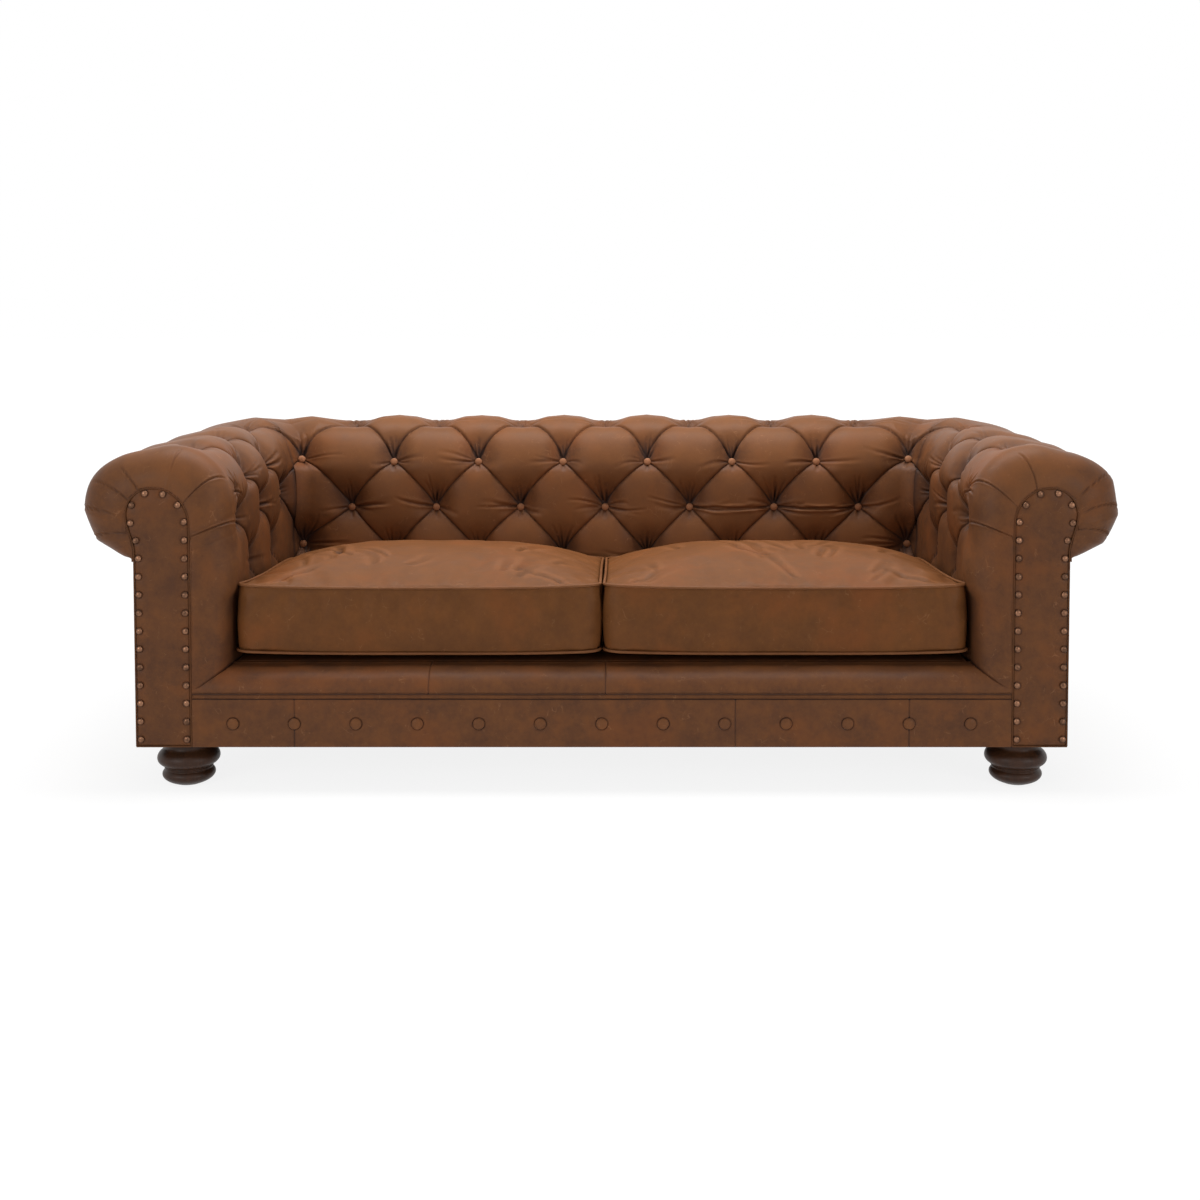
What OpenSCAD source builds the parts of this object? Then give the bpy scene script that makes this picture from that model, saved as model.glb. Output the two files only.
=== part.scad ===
// Two-seat sofa with rolled arms and a rolled back of one height, deep buttoned in leather.
// Millimetres, X across, Y to the rear, Z up. The origin is on the floor, at the middle of the plan.
// Inside the modules Y is counted from the face of the arm front panels, and placed() centres it.

/* [Overall] */
// Clear width between the two inside arms
seat_w = 1624; // [1400:4:1900]
// Depth from the arm front panels to the inside back
seat_d = 690; // [600:5:780]
// Height of the feet, which is where the body starts
foot_h = 97.5; // [70:0.5:130]
// Height of the arms and back above the floor
roll_top = 753; // [720:1:800]

/* [Arm and back roll] */
// Radius of the shoulder, where the inside face turns into the top
shoulder_r = 132; // [120:1:140]
// Radius of the scroll, on the outside of the roll
scroll_r = 116; // [110:1:130]
// Distance between the centres of the shoulder and the scroll
roll_gap = 72; // [60:1:80]
// Thickness of an arm from its inside face to its outside panel
arm_t = 204; // [196:1:212]
// Thickness of the buttoned padding over the foam
pad_t = 45; // [42:1:48]
// Plan radius of the inside rear corner
corner_r = 50; // [40:1:60]
// How much of the roll's reach the plan radius of the corner takes up
corner_grow = 0.5; // [0.3:0.05:0.7]

/* [Buttoning] */
// How far past the start of a rear corner its own column of buttons lies
corner_col_in = 11.5; // [6:0.5:18]
// Depth of a button below the crest of the padding
tuft_depth = 36; // [25:1:38]
// Heights of the rows of buttons on the back, measured along the padding from the shoulder's start
back_rows = [182, 30, -95, -220];
// Heights of the rows of buttons on the arms, measured the same way
arm_rows = [188, 46, -46, -162];
// Radius of a covered button in the buttoning
tuft_button_r = 9.5; // [8:0.5:11]
// Height of a button's underside above the bottom of its pit
button_lift = 9; // [8:0.5:11]
// The same beside the rear corners, where the pits are steeper
corner_button_lift = 13; // [12:0.5:15]
// Depth of the corner's own pleat, as a share of the button depth
corner_pleat = 0.5; // [0.2:0.05:0.8]

/* [Arm front] */
// Distance from the inside arm face to the inner edge of the front panel
panel_in = 81; // [76:1:86]
// Height of the top of the front panel
head_top = 668; // [650:1:675]
// Radius of the inner side of the panel's head
head_r_in = 80; // [75:1:84]
// Radius of the outer side of the panel's head
head_r_out = 61; // [55:1:66]
// Thickness of the front panel
panel_t = 12; // [8:1:16]
// Width of the welt round the front panel
panel_welt = 4; // [3:0.5:8]
// Thickness of the padding's edge where it meets the front panel
edge_t = 3; // [2:0.5:5]
// How far the padding takes to round over to the front panel
round_y = 70; // [60:1:80]
// Radius of a trim nail's head
nail_r = 7; // [5:0.5:8]
// Height of a trim nail's head
nail_h = 4; // [3:0.5:5]
// Distance from the panel's edge to the nails' centres
nail_inset = 11.5; // [11:0.5:20]
// Number of trim nails on each arm front
nail_count = 30; // [20:1:40]

/* [Front border] */
// Height of the lower front band
band_h = 105.5; // [90:0.5:120]
// Radius of each cord of the double welt over the band
cord_r = 2.7; // [2:0.1:3.5]
// Height of the padded lip above the double welt
lip_h = 51; // [44:1:58]
// Distance over which the lip rounds back
lip_round = 60; // [50:1:66]
// Thickness of the lip's leather cover
lip_t = 4; // [3:0.5:5]
// Depth of the lip from front to rear
lip_d = 80; // [76:1:90]
// Number of covered buttons on the front band
band_buttons = 13; // [9:1:17]
// Radius of a covered button on the front band
band_button_r = 12.5; // [10:0.5:15]
// Height of a covered button on the front band
band_button_h = 4; // [3:0.5:5]
// Distance between two buttons on the front band
band_pitch = 134; // [110:1:140]
// Height of the band's buttons above its lower edge
band_button_z = 52; // [40:1:64]

/* [Deck] */
// Height of the deck under the cushions above the top of the feet
deck_rise = 172.5; // [170.5:0.5:178.5]
// Thickness of the deck's cover
deck_cover_t = 3; // [2:0.5:4]
// Number of sinuous springs
spring_count = 8; // [5:1:9]
// Thickness of the spring wire
wire_t = 3.8; // [3:0.1:4.2]
// Half the width of a spring's zigzag
spring_half_w = 24; // [18:1:30]
// Distance between two turns of a spring
spring_turn = 54; // [44:1:64]

/* [Seat cushions] */
// Gap between the two cushions
cushion_gap = 4; // [2:0.5:8]
// Gap between a cushion and the arm or back beside it
cushion_side_gap = 5; // [3:0.5:10]
// How far the cushions are set back from the arm fronts
cushion_front = 48; // [40:1:60]
// Height of the lower welt above the deck
cushion_lift = 21; // [16:1:28]
// Height between the two welts
cushion_box = 146; // [130:1:160]
// Rise of the crown above the upper welt
cushion_crown = 52; // [36:1:60]
// How much lower the upper welt runs at the rear than at the front
cushion_fall = 26; // [0:1:36]
// How far the sides are drawn in between the corners
cushion_pull = 8; // [4:0.5:12]
// Plan radius of a cushion's corner
cushion_corner = 30; // [20:1:40]
// Radius of the cushion's welt
cushion_welt_r = 4; // [3:0.5:5]
// How much the upper welt rises at the corners
corner_lift = 8; // [0:0.5:12]

/* [Frame] */
// Thickness of the frame boards
board_t = 30; // [26:1:34]
// Thickness of the side rails and the rear rail
rail_t = 40; // [34:1:44]
// Side of the rear posts
post_w = 50; // [44:1:56]
// Height of the seat rails
rail_h = 134.5; // [128:0.5:138]
// Width and height of the rails in the rolls
roll_rail_w = 50; // [40:1:54]
// Height of the rails in the rolls
roll_rail_h = 40; // [30:1:44]
// Thickness of the inside boards that back the foam
liner_t = 6; // [4:0.5:8]
// Thickness of the outside panels
side_t = 5; // [3:0.5:6]
// Thickness of the dust cover
dust_t = 1; // [0.8:0.1:1.5]

/* [Feet] */
// Distance of the feet outward from the inside arm faces
foot_out = 109; // [96:1:120]
// Distance of the front feet from the arm fronts
foot_front = 75; // [72:1:90]
// Radius of the upper bun of a foot
bun_r = 69; // [60:1:74]
// Radius of the lower bun of a foot
low_bun_r = 58; // [50:1:64]
// Height of the middle of the upper bun below the frame
bun_drop = 40; // [30:1:46]
// Radius of the neck of a foot
neck_r = 50; // [40:1:54]
// Radius of the foot where it meets the floor
toe_r = 36; // [30:1:44]
// Radius of the bolt that holds a foot
bolt_r = 4; // [3:0.5:5]
// Length of the bolt that holds a foot
bolt_len = 90; // [80:1:110]

/* [Hidden] */
$fn = 64;
// Gap at which soft pieces stay clear of each other
clear = 0.3;
// Gap between the true curve of the foam and the flat facets of the padding over it
facet_gap = 3.2;
half_w = seat_w / 2;
deck_z = foot_h + deck_rise;
roll_z = roll_top - shoulder_r;
scroll_d = shoulder_r + roll_gap;
reach = scroll_d + scroll_r;
lean = asin((shoulder_r - scroll_r) / roll_gap);
crest_turn = 90 - lean;
tuck_turn = -acos((arm_t - scroll_d) / scroll_r);
shoulder_len = shoulder_r * (180 - crest_turn) * PI / 180;
flat_len = roll_gap * cos(lean);
scroll_len = scroll_r * (crest_turn - tuck_turn) * PI / 180;
roll_len = shoulder_len + flat_len + scroll_len;
tuck_z = roll_z + scroll_r * sin(tuck_turn);
front_most = -max(nail_h, band_button_h);
mid_y = (seat_d + reach + front_most) / 2;
// Heights of the front border
welt_z = foot_h + band_h + clear;
lip_z = welt_z + 4 * cord_r + clear;
lip_top = lip_z + lip_h;
lip_edge = 9;
lip_start = lip_z + lip_edge;
lip_gap = 1.5;
pad_floor = lip_top + lip_gap;
// The plan path that the buttoning follows, from the middle of the back to an arm front
corner_ref = 10;
corner_start = half_w - corner_r;
corner_len = (corner_r + corner_ref) * PI / 2;
arm_start = corner_start + corner_len;
fan_len = 100;
cells = 3;
last_back = 3;
last_col = 6;
pitch = (corner_start + corner_col_in) / (last_back + 0.5);
seam_col = last_back + 0.5 + 0.5 / cells;
round_s = arm_start + seat_d - corner_r - round_y;
round_n = 4;
band_n = 3;
row_n = 4 * cells;
scroll_n = 6;
station_n = row_n + 3 + scroll_n;
arm_col_n = round_n + band_n + round((last_col - seam_col) * 2 * cells);
back_col_n = round(seam_col * 4 * cells);
knot = 1.5;
plump = 0.45;
// Seat frame
rail_top = foot_h + rail_h;
post_front = panel_t;
post_rear = panel_t + board_t;
post_inset = side_t + clear;
liner_d = panel_in + post_inset;
liner_x = half_w + liner_d;
liner_gap = 8;
rail_in_roll_d = liner_d + liner_t;
foam_under_rail = 7;
roll_rail_z = roll_z - scroll_r + pad_t + foam_under_rail;
rear_skin = seat_d + arm_t;
foot_x = half_w + foot_out;
foot_rear = rear_skin - foot_front;
rear_rail_y = seat_d + liner_d;
clip_t = 1.5;
spring_z = rail_top + clip_t + clear;
clip_h = wire_t + 2 * (clip_t + clear);
pad_z = spring_z + wire_t + clear;
foam_z = pad_z + 8;

// Small helpers
function mix(a, b, t) = a + (b - a) * t;
function smooth(t) = let (c = min(max(t, 0), 1)) c * c * (3 - 2 * c);

// Section of the padding: u runs along its crest, zero where the inside face meets the shoulder,
// and the result is the distance outward from the inside face, with the height
function turn_at(u) =
    u < 0 ? 180
    : u < shoulder_len ? 180 - u / shoulder_r * 180 / PI
    : u < shoulder_len + flat_len ? crest_turn
    : crest_turn - (u - shoulder_len - flat_len) / scroll_r * 180 / PI;
function profile(u, depth) =
    let (n = [cos(turn_at(u)), sin(turn_at(u))])
    u < 0 ? [depth, roll_z + u]
    : u < shoulder_len ? [shoulder_r, roll_z] + (shoulder_r - depth) * n
    : u < shoulder_len + flat_len
        ? [shoulder_r, roll_z] + (shoulder_r - depth) * n + (u - shoulder_len) * [n[1], -n[0]]
    : [scroll_d, roll_z] + (scroll_r - depth) * n;

// Plan of the padding: s runs from the middle of the back, d is the distance outward
function plan(s, d) =
    let (a = abs(s), r = corner_r + corner_grow * d, slip = d + corner_r - r,
        cx = half_w + d - r, cy = seat_d + d - r, t = 90 * (a - corner_start) / corner_len,
        p = a < corner_start
            ? [a + slip * smooth((a - corner_start + fan_len) / fan_len), seat_d + d]
            : a < arm_start ? [cx + r * sin(t), cy + r * cos(t)]
            : [half_w + d, seat_d - corner_r + arm_start - a
                + slip * (1 - smooth((a - arm_start) / fan_len))])
    [(s < 0 ? -1 : 1) * p[0], p[1]];
function skin(s, u, depth) =
    let (q = profile(u, depth), p = plan(s, q[0]))
    [p[0], p[1], q[1]];

// Rows of buttons: v counts them downward from the roll, and is negative over the roll
function rows_at(s) = mix(back_rows, arm_rows, smooth(abs(s) / pitch - last_back));
function row_u(s, v) =
    let (r = rows_at(s), i = min(floor(v), 3))
    i == 3 ? mix(r[3], pad_floor - roll_z, v - 3) : mix(r[i], r[i + 1], v - i);
function roll_u(s, j) =
    j == 0 ? rows_at(s)[0]
    : j == 1 ? shoulder_r * PI / 2
    : j == 2 ? shoulder_len
    : shoulder_len + flat_len + scroll_len * (j - 3) / scroll_n;
function station_u(s, j) = j <= row_n ? row_u(s, 4 - j / cells) : roll_u(s, j - row_n);
function station_v(s, j) =
    j <= row_n ? 4 - j / cells
    : -(station_u(s, j) - rows_at(s)[0]) / (roll_len - rows_at(s)[0]);

// Depth of the buttoning below the crest, as a share: 1 at a button, 0 in the middle of a diamond
function pucker(k, v) =
    let (p = 180 * (k + v / 2), q = 180 * (k - v / 2))
    0.55 * pow(pow(cos(p) * cos(q), 2), knot) + 0.45 * (1 - pow(abs(sin(p) * sin(q)), plump));
function over_roll(w) = 0.6 * exp(-10 * w) + 0.4 * (1 - w);
function row_depth(k, v) = v > 3 ? pucker(k, v) * (4 - v) : pucker(k, v);
function corner_share(k, v) =
    v > 1 ? 0 : corner_pleat * max(0, 1 - abs(k - last_back - 0.5) * 4) * over_roll(max(-v, 0));
function tuft_share(k, v) =
    let (past = k - last_col, fade = 1 - smooth(past * pitch / (round_s - last_col * pitch)),
        rise = -v * (roll_len - arm_rows[0]) / (back_rows[0] - back_rows[1]))
    past <= 0
        ? max(v < 0 ? pucker(k, 0) * over_roll(-v) : row_depth(k, v), corner_share(k, v))
        : v >= 0 ? row_depth(last_col, v) * fade
        : fade * max(rise < 1 ? pucker(last_col, rise) : 0,
            past < 0.5 ? pucker(k, 0) * over_roll(-v) : 0);
function tufted(s, j) =
    skin(s, station_u(s, j), tuft_depth * tuft_share(abs(s) / pitch, station_v(s, j)));

// Outline of the arm front panel, followed by length from where its head starts
head_d = panel_in + head_r_in;
head_in_z = head_top - head_r_in;
head_out_z = head_top - head_r_out;
neck_turn = -acos((arm_t - head_d) / head_r_out);
neck_z = head_out_z + head_r_out * sin(neck_turn);
head_in_len = head_r_in * PI / 2;
head_out_len = head_r_out * (90 - neck_turn) * PI / 180;
outline_len = head_in_len + head_out_len + neck_z - tuck_z;
function outline(l, grow) =
    l < 0 ? [panel_in - grow, head_in_z + l]
    : l < head_in_len
        ? let (a = 180 - l / head_r_in * 180 / PI)
            [head_d + (head_r_in + grow) * cos(a), head_in_z + (head_r_in + grow) * sin(a)]
    : l < head_in_len + head_out_len
        ? let (a = 90 - (l - head_in_len) / head_r_out * 180 / PI)
            [head_d + (head_r_out + grow) * cos(a), head_out_z + (head_r_out + grow) * sin(a)]
    : [arm_t + grow, neck_z - (l - head_in_len - head_out_len)];
function head_gap(u) = clear + (facet_gap - 1) * smooth(u / 40);
function outline_at(u, grow) =
    outline(u < 0 ? u * (head_in_z - pad_floor) / (roll_z - pad_floor) : u * outline_len / roll_len,
        grow);

// Top of the lip, which the arm padding comes down to
function lip_at(y) =
    y > lip_round ? lip_top
    : lip_start + (lip_top - lip_start) * sqrt(1 - pow((lip_round - y) / lip_round, 2));

// Rings of the arm padding, from the front panel's edge to the seam in the corner
function ring_s(i) =
    i < round_n + band_n ? mix(round_s, last_col * pitch, (i - round_n) / band_n)
    : (last_col - (i - round_n - band_n) / (2 * cells)) * pitch;
function ring_y(i) = round_y - (round_y - 1) * cos(90 * i / round_n);
function dip(y, u) = u < 0 ? (lip_top - lip_at(y)) * pow(u / (pad_floor - roll_z), 2) : 0;
function front_ring(i, q) = [half_w + q[0], ring_y(i), q[1]];
function arm_outer(i, j) =
    i >= round_n ? tufted(ring_s(i), j)
    : let (u = station_u(round_s, j), share = 1 - sin(90 * i / round_n),
        q = mix(profile(u, 0), outline_at(u, head_gap(u) + edge_t), share))
    front_ring(i, q - [0, dip(ring_y(i), u)]);
function arm_inner(i, j) =
    i >= round_n ? skin(ring_s(i), station_u(ring_s(i), j), pad_t)
    : let (u = station_u(round_s, j),
        q = mix(outline_at(u, head_gap(u)), profile(u, pad_t), i / round_n))
    front_ring(i, q - [0, dip(ring_y(i), u)]);
function back_s(i) = (i / back_col_n * 2 - 1) * seam_col * pitch * -1;
function back_outer(i, j) = tufted(back_s(i), j);
function back_inner(i, j) = skin(back_s(i), station_u(back_s(i), j), pad_t);

// A closed shell between an outer grid and a sparser inner grid. cols and rows list the places in
// the outer grid that the inner grid keeps, and both start at 0 and end at its last place.
function outer_id(i, j, m) = i * (m + 1) + j;
function shell_faces(n, m, cols, rows) =
    let (base = (n + 1) * (m + 1), rc = len(rows))
    concat(
        [for (i = [0:n - 1], j = [0:m - 1]) let (a = outer_id(i, j, m), b = outer_id(i + 1, j, m))
            each (i + j) % 2 == 0 ? [[a, b, b + 1], [a, b + 1, a + 1]] : [[a, b, a + 1], [b, b + 1, a + 1]]],
        [for (c = [0:len(cols) - 2], r = [0:rc - 2]) let (a = base + c * rc + r, b = a + rc)
            each [[a, b + 1, b], [a, a + 1, b + 1]]],
        [for (c = [0:len(cols) - 2]) let (a = base + c * rc, b = a + rc)
            each concat(
                [for (i = [cols[c]:cols[c + 1] - 1]) [outer_id(i, 0, m), a, outer_id(i + 1, 0, m)]],
                [[outer_id(cols[c + 1], 0, m), a, b]],
                [for (i = [cols[c]:cols[c + 1] - 1])
                    [outer_id(i, m, m), outer_id(i + 1, m, m), a + rc - 1]],
                [[outer_id(cols[c + 1], m, m), b + rc - 1, a + rc - 1]])],
        [for (r = [0:rc - 2]) let (a = base + r, z = base + (len(cols) - 1) * rc + r)
            each concat(
                [for (j = [rows[r]:rows[r + 1] - 1]) [outer_id(0, j, m), outer_id(0, j + 1, m), a]],
                [[outer_id(0, rows[r + 1], m), a + 1, a]],
                [for (j = [rows[r]:rows[r + 1] - 1]) [outer_id(n, j + 1, m), outer_id(n, j, m), z]],
                [[outer_id(n, rows[r + 1], m), z, z + 1]])]);

row_picks = concat([0], [for (j = [2 * cells:station_n]) j]);
arm_picks = concat([for (i = [0:round_n]) i], [for (i = [arm_col_n - 3:arm_col_n]) i]);
back_picks = concat([for (i = [0:3]) i], [back_col_n / 2],
    [for (i = [back_col_n - 3:back_col_n]) i]);

// Rim of a seat cushion, drawn in between its corners, then grown outward
cushion_half_x = (half_w - cushion_gap / 2 - cushion_side_gap) / 2;
cushion_half_y = (seat_d - cushion_side_gap - cushion_front) / 2;
cushion_x = cushion_gap / 2 + cushion_half_x;
cushion_y = cushion_front + cushion_half_y;
welt_band = 2 * cushion_welt_r + 0.6;
cover_x = cushion_half_x - welt_band;
cover_y = cushion_half_y - welt_band;
low_welt_z = deck_z + cushion_lift;
top_welt_z = low_welt_z + cushion_box;
side_steps = 8;
crown_power = 3;
side_bulge = 4;
side_pull = cushion_pull * 0.6;
function rim(grow, pull) = [
    for (q = [0:3]) let (sx = q == 0 || q == 3 ? 1 : -1, sy = q < 2 ? 1 : -1,
        nx = q == 1 || q == 0 ? -1 : 1, r = cushion_corner + grow)
        each concat(
            [for (a = [0:30:90]) [
                sx * (cover_x - cushion_corner) + r * cos(90 * q + a),
                sy * (cover_y - cushion_corner) + r * sin(90 * q + a)]],
            [for (i = [1:side_steps - 1]) let (t = 2 * i / side_steps - 1, p = pull * (1 - t * t))
                q == 0 ? [-t * (cover_x - cushion_corner), cover_y + grow - p]
                : q == 1 ? [-cover_x - grow + p, -t * (cover_y - cushion_corner)]
                : q == 2 ? [t * (cover_x - cushion_corner), -cover_y - grow + p]
                : [cover_x + grow - p, t * (cover_y - cushion_corner)]])
];
// Height of the crown as a share, 1 in the middle and 0 at the welt
function crown_share(f, p) =
    f == 1 ? 0 : (1 - pow(f * abs(p[0]) / cover_x, crown_power)) * (1 - pow(f * abs(p[1]) / cover_y, crown_power));
function fall(y) = cushion_fall * (1 + y / cover_y) / 2;
function corner_rise(p) = corner_lift * pow(abs(p[0] * p[1]) / (cover_x * cover_y), 3);
cushion_rings = [[0.4, 0], [0.7, 0], [0.9, 0], [1, 0], [1, 0.5], [1, 1], [0.9, 1], [0.7, 1], [0.4, 1]];
function ring_z(f, side, p) =
    side == 0 ? low_welt_z - (cushion_lift - clear) * crown_share(f, p)
    : side == 1 ? top_welt_z - fall(f * p[1]) + cushion_crown * crown_share(f, p) + corner_rise(p) * f
    : (low_welt_z + top_welt_z - fall(p[1])) / 2;
function cushion_ring(f, side) = [
    for (p = rim(side == 0.5 ? side_bulge : 0, side == 0.5 ? side_pull : cushion_pull))
        [f * p[0], f * p[1], ring_z(f, side, p)]
];
function band_faces(rings, n) = [
    for (r = [0:rings - 2], i = [0:n - 1])
        let (a = r * n + i, b = r * n + (i + 1) % n)
        each [[a, a + n, b], [b, a + n, b + n]]
];
function fan_faces(start, n, hub, up) = [
    for (i = [0:n - 1]) up ? [start + (i + 1) % n, start + i, hub] : [start + i, start + (i + 1) % n, hub]
];

// A tube with a small section swept along a level path, closed or with two ends
function wrap(list, i) = list[(i + len(list)) % len(list)];
function heading(path, i, closed) =
    let (n = len(path), a = closed ? wrap(path, i - 1) : path[max(i - 1, 0)],
        b = closed ? wrap(path, i + 1) : path[min(i + 1, n - 1)], d = [b[0] - a[0], b[1] - a[1]])
    d / norm(d);
function sweep_points(path, section, closed) = [
    for (i = [0:len(path) - 1], c = section) let (h = heading(path, i, closed))
        path[i] + [h[1] * c[0], -h[0] * c[0], c[1]]
];
function sweep_faces(n, m, closed) = concat(
    [for (i = [0:closed ? n - 1 : n - 2], j = [0:m - 1])
        let (a = i * m + j, b = i * m + (j + 1) % m, c = (a + m) % (n * m), d = (b + m) % (n * m))
        each [[a, b, c], [b, d, c]]],
    closed ? [] : [for (j = [1:m - 2]) each [[0, j + 1, j], [(n - 1) * m, (n - 1) * m + j, (n - 1) * m + j + 1]]]
);

module placed() {
    translate([0, -mid_y, 0]) children();
}

// Draws a right-hand piece on the side asked for
module on_side(side) {
    if (side > 0) placed() children();
    else placed() mirror([1, 0, 0]) children();
}

module block(x0, x1, y0, y1, z0, z1) {
    translate([x0, y0, z0]) cube([x1 - x0, y1 - y0, z1 - z0]);
}

// Flat shapes in distance and height, turned to stand across an arm or across the back
module along_arm(y0, y1) {
    translate([half_w, y1, 0]) rotate([90, 0, 0]) linear_extrude(y1 - y0) children();
}
module along_back(length) {
    translate([-length / 2, 0, 0]) rotate([90, 0, 90]) linear_extrude(length) children();
}

// Arm front outline, grown or shrunk, with its foot at the height given
module outline_shape(grow, foot_z) {
    translate([panel_in - grow, foot_z])
        square([arm_t - panel_in + 2 * grow, head_in_z - foot_z]);
    translate([head_d, head_in_z]) intersection() {
        circle(head_r_in + grow);
        translate([-head_r_in - grow, 0]) square(head_r_in + grow);
    }
    translate([head_d, head_out_z]) circle(head_r_out + grow);
}

// Section of the foam under the padding, with a tunnel for the rail
module foam_shape() {
    slack = pad_t + facet_gap;
    slab_top = roll_z - 20;
    n = [cos(crest_turn), sin(crest_turn)];
    difference() {
        union() {
            translate([shoulder_r, roll_z]) circle(shoulder_r - slack);
            translate([scroll_d, roll_z]) circle(scroll_r - slack);
            polygon([[shoulder_r, roll_z - scroll_r + slack], [scroll_d, roll_z - scroll_r + slack],
                [scroll_d, roll_z] + (scroll_r - slack) * n, [shoulder_r, roll_z] + (shoulder_r - slack) * n]);
            translate([pad_t + clear, foam_z]) square([liner_d - pad_t - clear, slab_top - foam_z]);
        }
        translate([rail_in_roll_d, roll_rail_z - scroll_r])
            square([roll_rail_w, roll_rail_h + scroll_r]);
        translate([liner_d - clear, foam_z - 1])
            square([liner_t + 2 * clear, roll_rail_z - liner_gap + clear - foam_z + 1]);
    }
}

module front_rail() {
    color("burlywood") placed()
        block(-half_w - panel_in - post_inset, half_w + panel_in + post_inset,
            panel_t + 2, post_rear, foot_h, rail_top);
}

module rear_rail() {
    color("burlywood") placed()
        block(-foot_x + post_w / 2, foot_x - post_w / 2, rear_rail_y, rear_rail_y + rail_t,
            foot_h, rail_top);
}

module side_rail(side) {
    color("burlywood") on_side(side) difference() {
        block(liner_x, liner_x + rail_t, post_rear, foot_rear - post_w / 2, foot_h, rail_top);
        translate([foot_x, foot_front, foot_h - 1]) cylinder(r = bolt_r + clear, h = bolt_len / 2 + 2);
    }
}

module centre_rail() {
    color("burlywood") placed()
        block(-board_t / 2, board_t / 2, post_rear, rear_rail_y, foot_h, rail_top - 20);
}

module corner_blocks() {
    leg = 70;
    high = 42;
    color("tan") placed() for (side = [-1, 1]) {
        translate([side * liner_x, post_rear, foot_h]) linear_extrude(high)
            polygon([[0, 0], [-side * leg, 0], [0, leg]]);
        translate([side * (foot_x - post_w / 2), rear_rail_y, foot_h]) linear_extrude(high)
            polygon([[0, 0], [-side * leg, 0], [0, -leg]]);
    }
}

module arm_front_post(side) {
    color("burlywood") on_side(side) along_arm(post_front, post_rear)
        outline_shape(-post_inset, foot_h);
}

module arm_rear_post(side) {
    color("burlywood") on_side(side) difference() {
        block(foot_x - post_w / 2, foot_x + post_w / 2, foot_rear - post_w / 2, foot_rear + post_w / 2,
            foot_h, roll_rail_z);
        translate([foot_x, foot_rear, foot_h - 1]) cylinder(r = bolt_r + clear, h = bolt_len / 2 + 2);
    }
}

module arm_rail(side) {
    x = half_w + rail_in_roll_d;
    color("burlywood") on_side(side)
        block(x, x + roll_rail_w, post_rear, seat_d + rail_in_roll_d, roll_rail_z, roll_rail_z + roll_rail_h);
}

module back_rail() {
    x = half_w + rail_in_roll_d + roll_rail_w;
    y = seat_d + rail_in_roll_d;
    color("burlywood") placed()
        block(-x, x, y, y + roll_rail_w, roll_rail_z, roll_rail_z + roll_rail_h);
}

module back_uprights() {
    y = rear_rail_y + liner_t;
    color("burlywood") placed() for (x = [-half_w / 2, 0, half_w / 2])
        block(x - board_t, x + board_t, y, y + board_t, rail_top, roll_rail_z);
}

module arm_liner(side) {
    color("wheat") on_side(side)
        block(liner_x, liner_x + liner_t, post_rear, rear_rail_y, rail_top, roll_rail_z - liner_gap);
}

module back_liner() {
    color("wheat") placed()
        block(-liner_x, liner_x, rear_rail_y, rear_rail_y + liner_t, foam_z, roll_rail_z - liner_gap);
}

// One flat zigzag spring from the front rail to the rear rail
module spring(x, y0, y1) {
    turns = round((y1 - y0) / spring_turn);
    steps = turns * 6;
    line = [for (i = [0:steps]) let (a = i / steps)
        [x + spring_half_w * sin(180 * turns * a), mix(y0, y1, a)]];
    side = [for (i = [0:steps]) let (d = line[min(i + 1, steps)] - line[max(i - 1, 0)])
        [d[1], -d[0]] / norm(d) * wire_t / 2];
    polygon(concat([for (i = [0:steps]) line[i] + side[i]], [for (i = [steps:-1:0]) line[i] - side[i]]));
}
spring_front = post_rear - 14;
spring_rear = rear_rail_y + liner_t + 8;
spring_edge = 100;
spring_step = (seat_w - 2 * spring_edge) / (spring_count - 1);

module seat_springs() {
    color("dimgray") placed() translate([0, 0, spring_z]) linear_extrude(wire_t)
        for (i = [0:spring_count - 1])
            spring((i - (spring_count - 1) / 2) * spring_step, spring_front, spring_rear);
}

module clip_shape() {
    lap = 12;
    foot = lap + 4;
    polygon([[0, 0], [foot, 0], [foot, clip_t], [clip_t, clip_t], [clip_t, clip_h - clip_t],
        [lap, clip_h - clip_t], [lap, clip_h], [0, clip_h]]);
}

module spring_clips() {
    color("silver") placed() for (i = [0:spring_count - 1]) {
        x = (i - (spring_count - 1) / 2) * spring_step;
        translate([x, spring_front - 3, rail_top]) along_back(24) clip_shape();
        translate([x, spring_rear + 3, rail_top]) mirror([0, 1, 0]) along_back(24) clip_shape();
    }
}

// Plan of the deck between the arms, with the corners of the padding
module deck_shape() {
    edge = 0.9;
    w = half_w - edge;
    difference() {
        translate([-w, lip_d]) square([2 * w, seat_d - edge - lip_d]);
        for (side = [-1, 1]) translate([side * (half_w - corner_r), seat_d - corner_r]) difference() {
            translate([side > 0 ? 0 : -corner_r, 0]) square(corner_r + 1);
            circle(corner_r - edge - facet_gap);
        }
    }
}

module deck_pad() {
    color("gray") placed() translate([0, 0, pad_z])
        linear_extrude(deck_z - deck_cover_t - pad_z) deck_shape();
}

module deck_cover() {
    color("saddlebrown") placed() translate([0, 0, deck_z - deck_cover_t])
        linear_extrude(deck_cover_t) deck_shape();
}

// Rounded outer line of the lip, at a depth below its surface
function lip_line(depth) = [
    for (a = [0:15:90]) [
        lip_round - (lip_round - depth) * cos(a),
        lip_start + (lip_top - lip_start - depth) * sin(a)]
];

module front_lip() {
    rear = lip_d - clear;
    color("saddlebrown") placed() along_back(seat_w + 2 * panel_in - 2 * clear)
        polygon(concat([[0, lip_z]], lip_line(0), [[rear, lip_top], [rear, lip_top - lip_t]],
            [for (i = [6:-1:0]) lip_line(lip_t)[i]], [[lip_t, lip_z]]));
}

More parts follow.
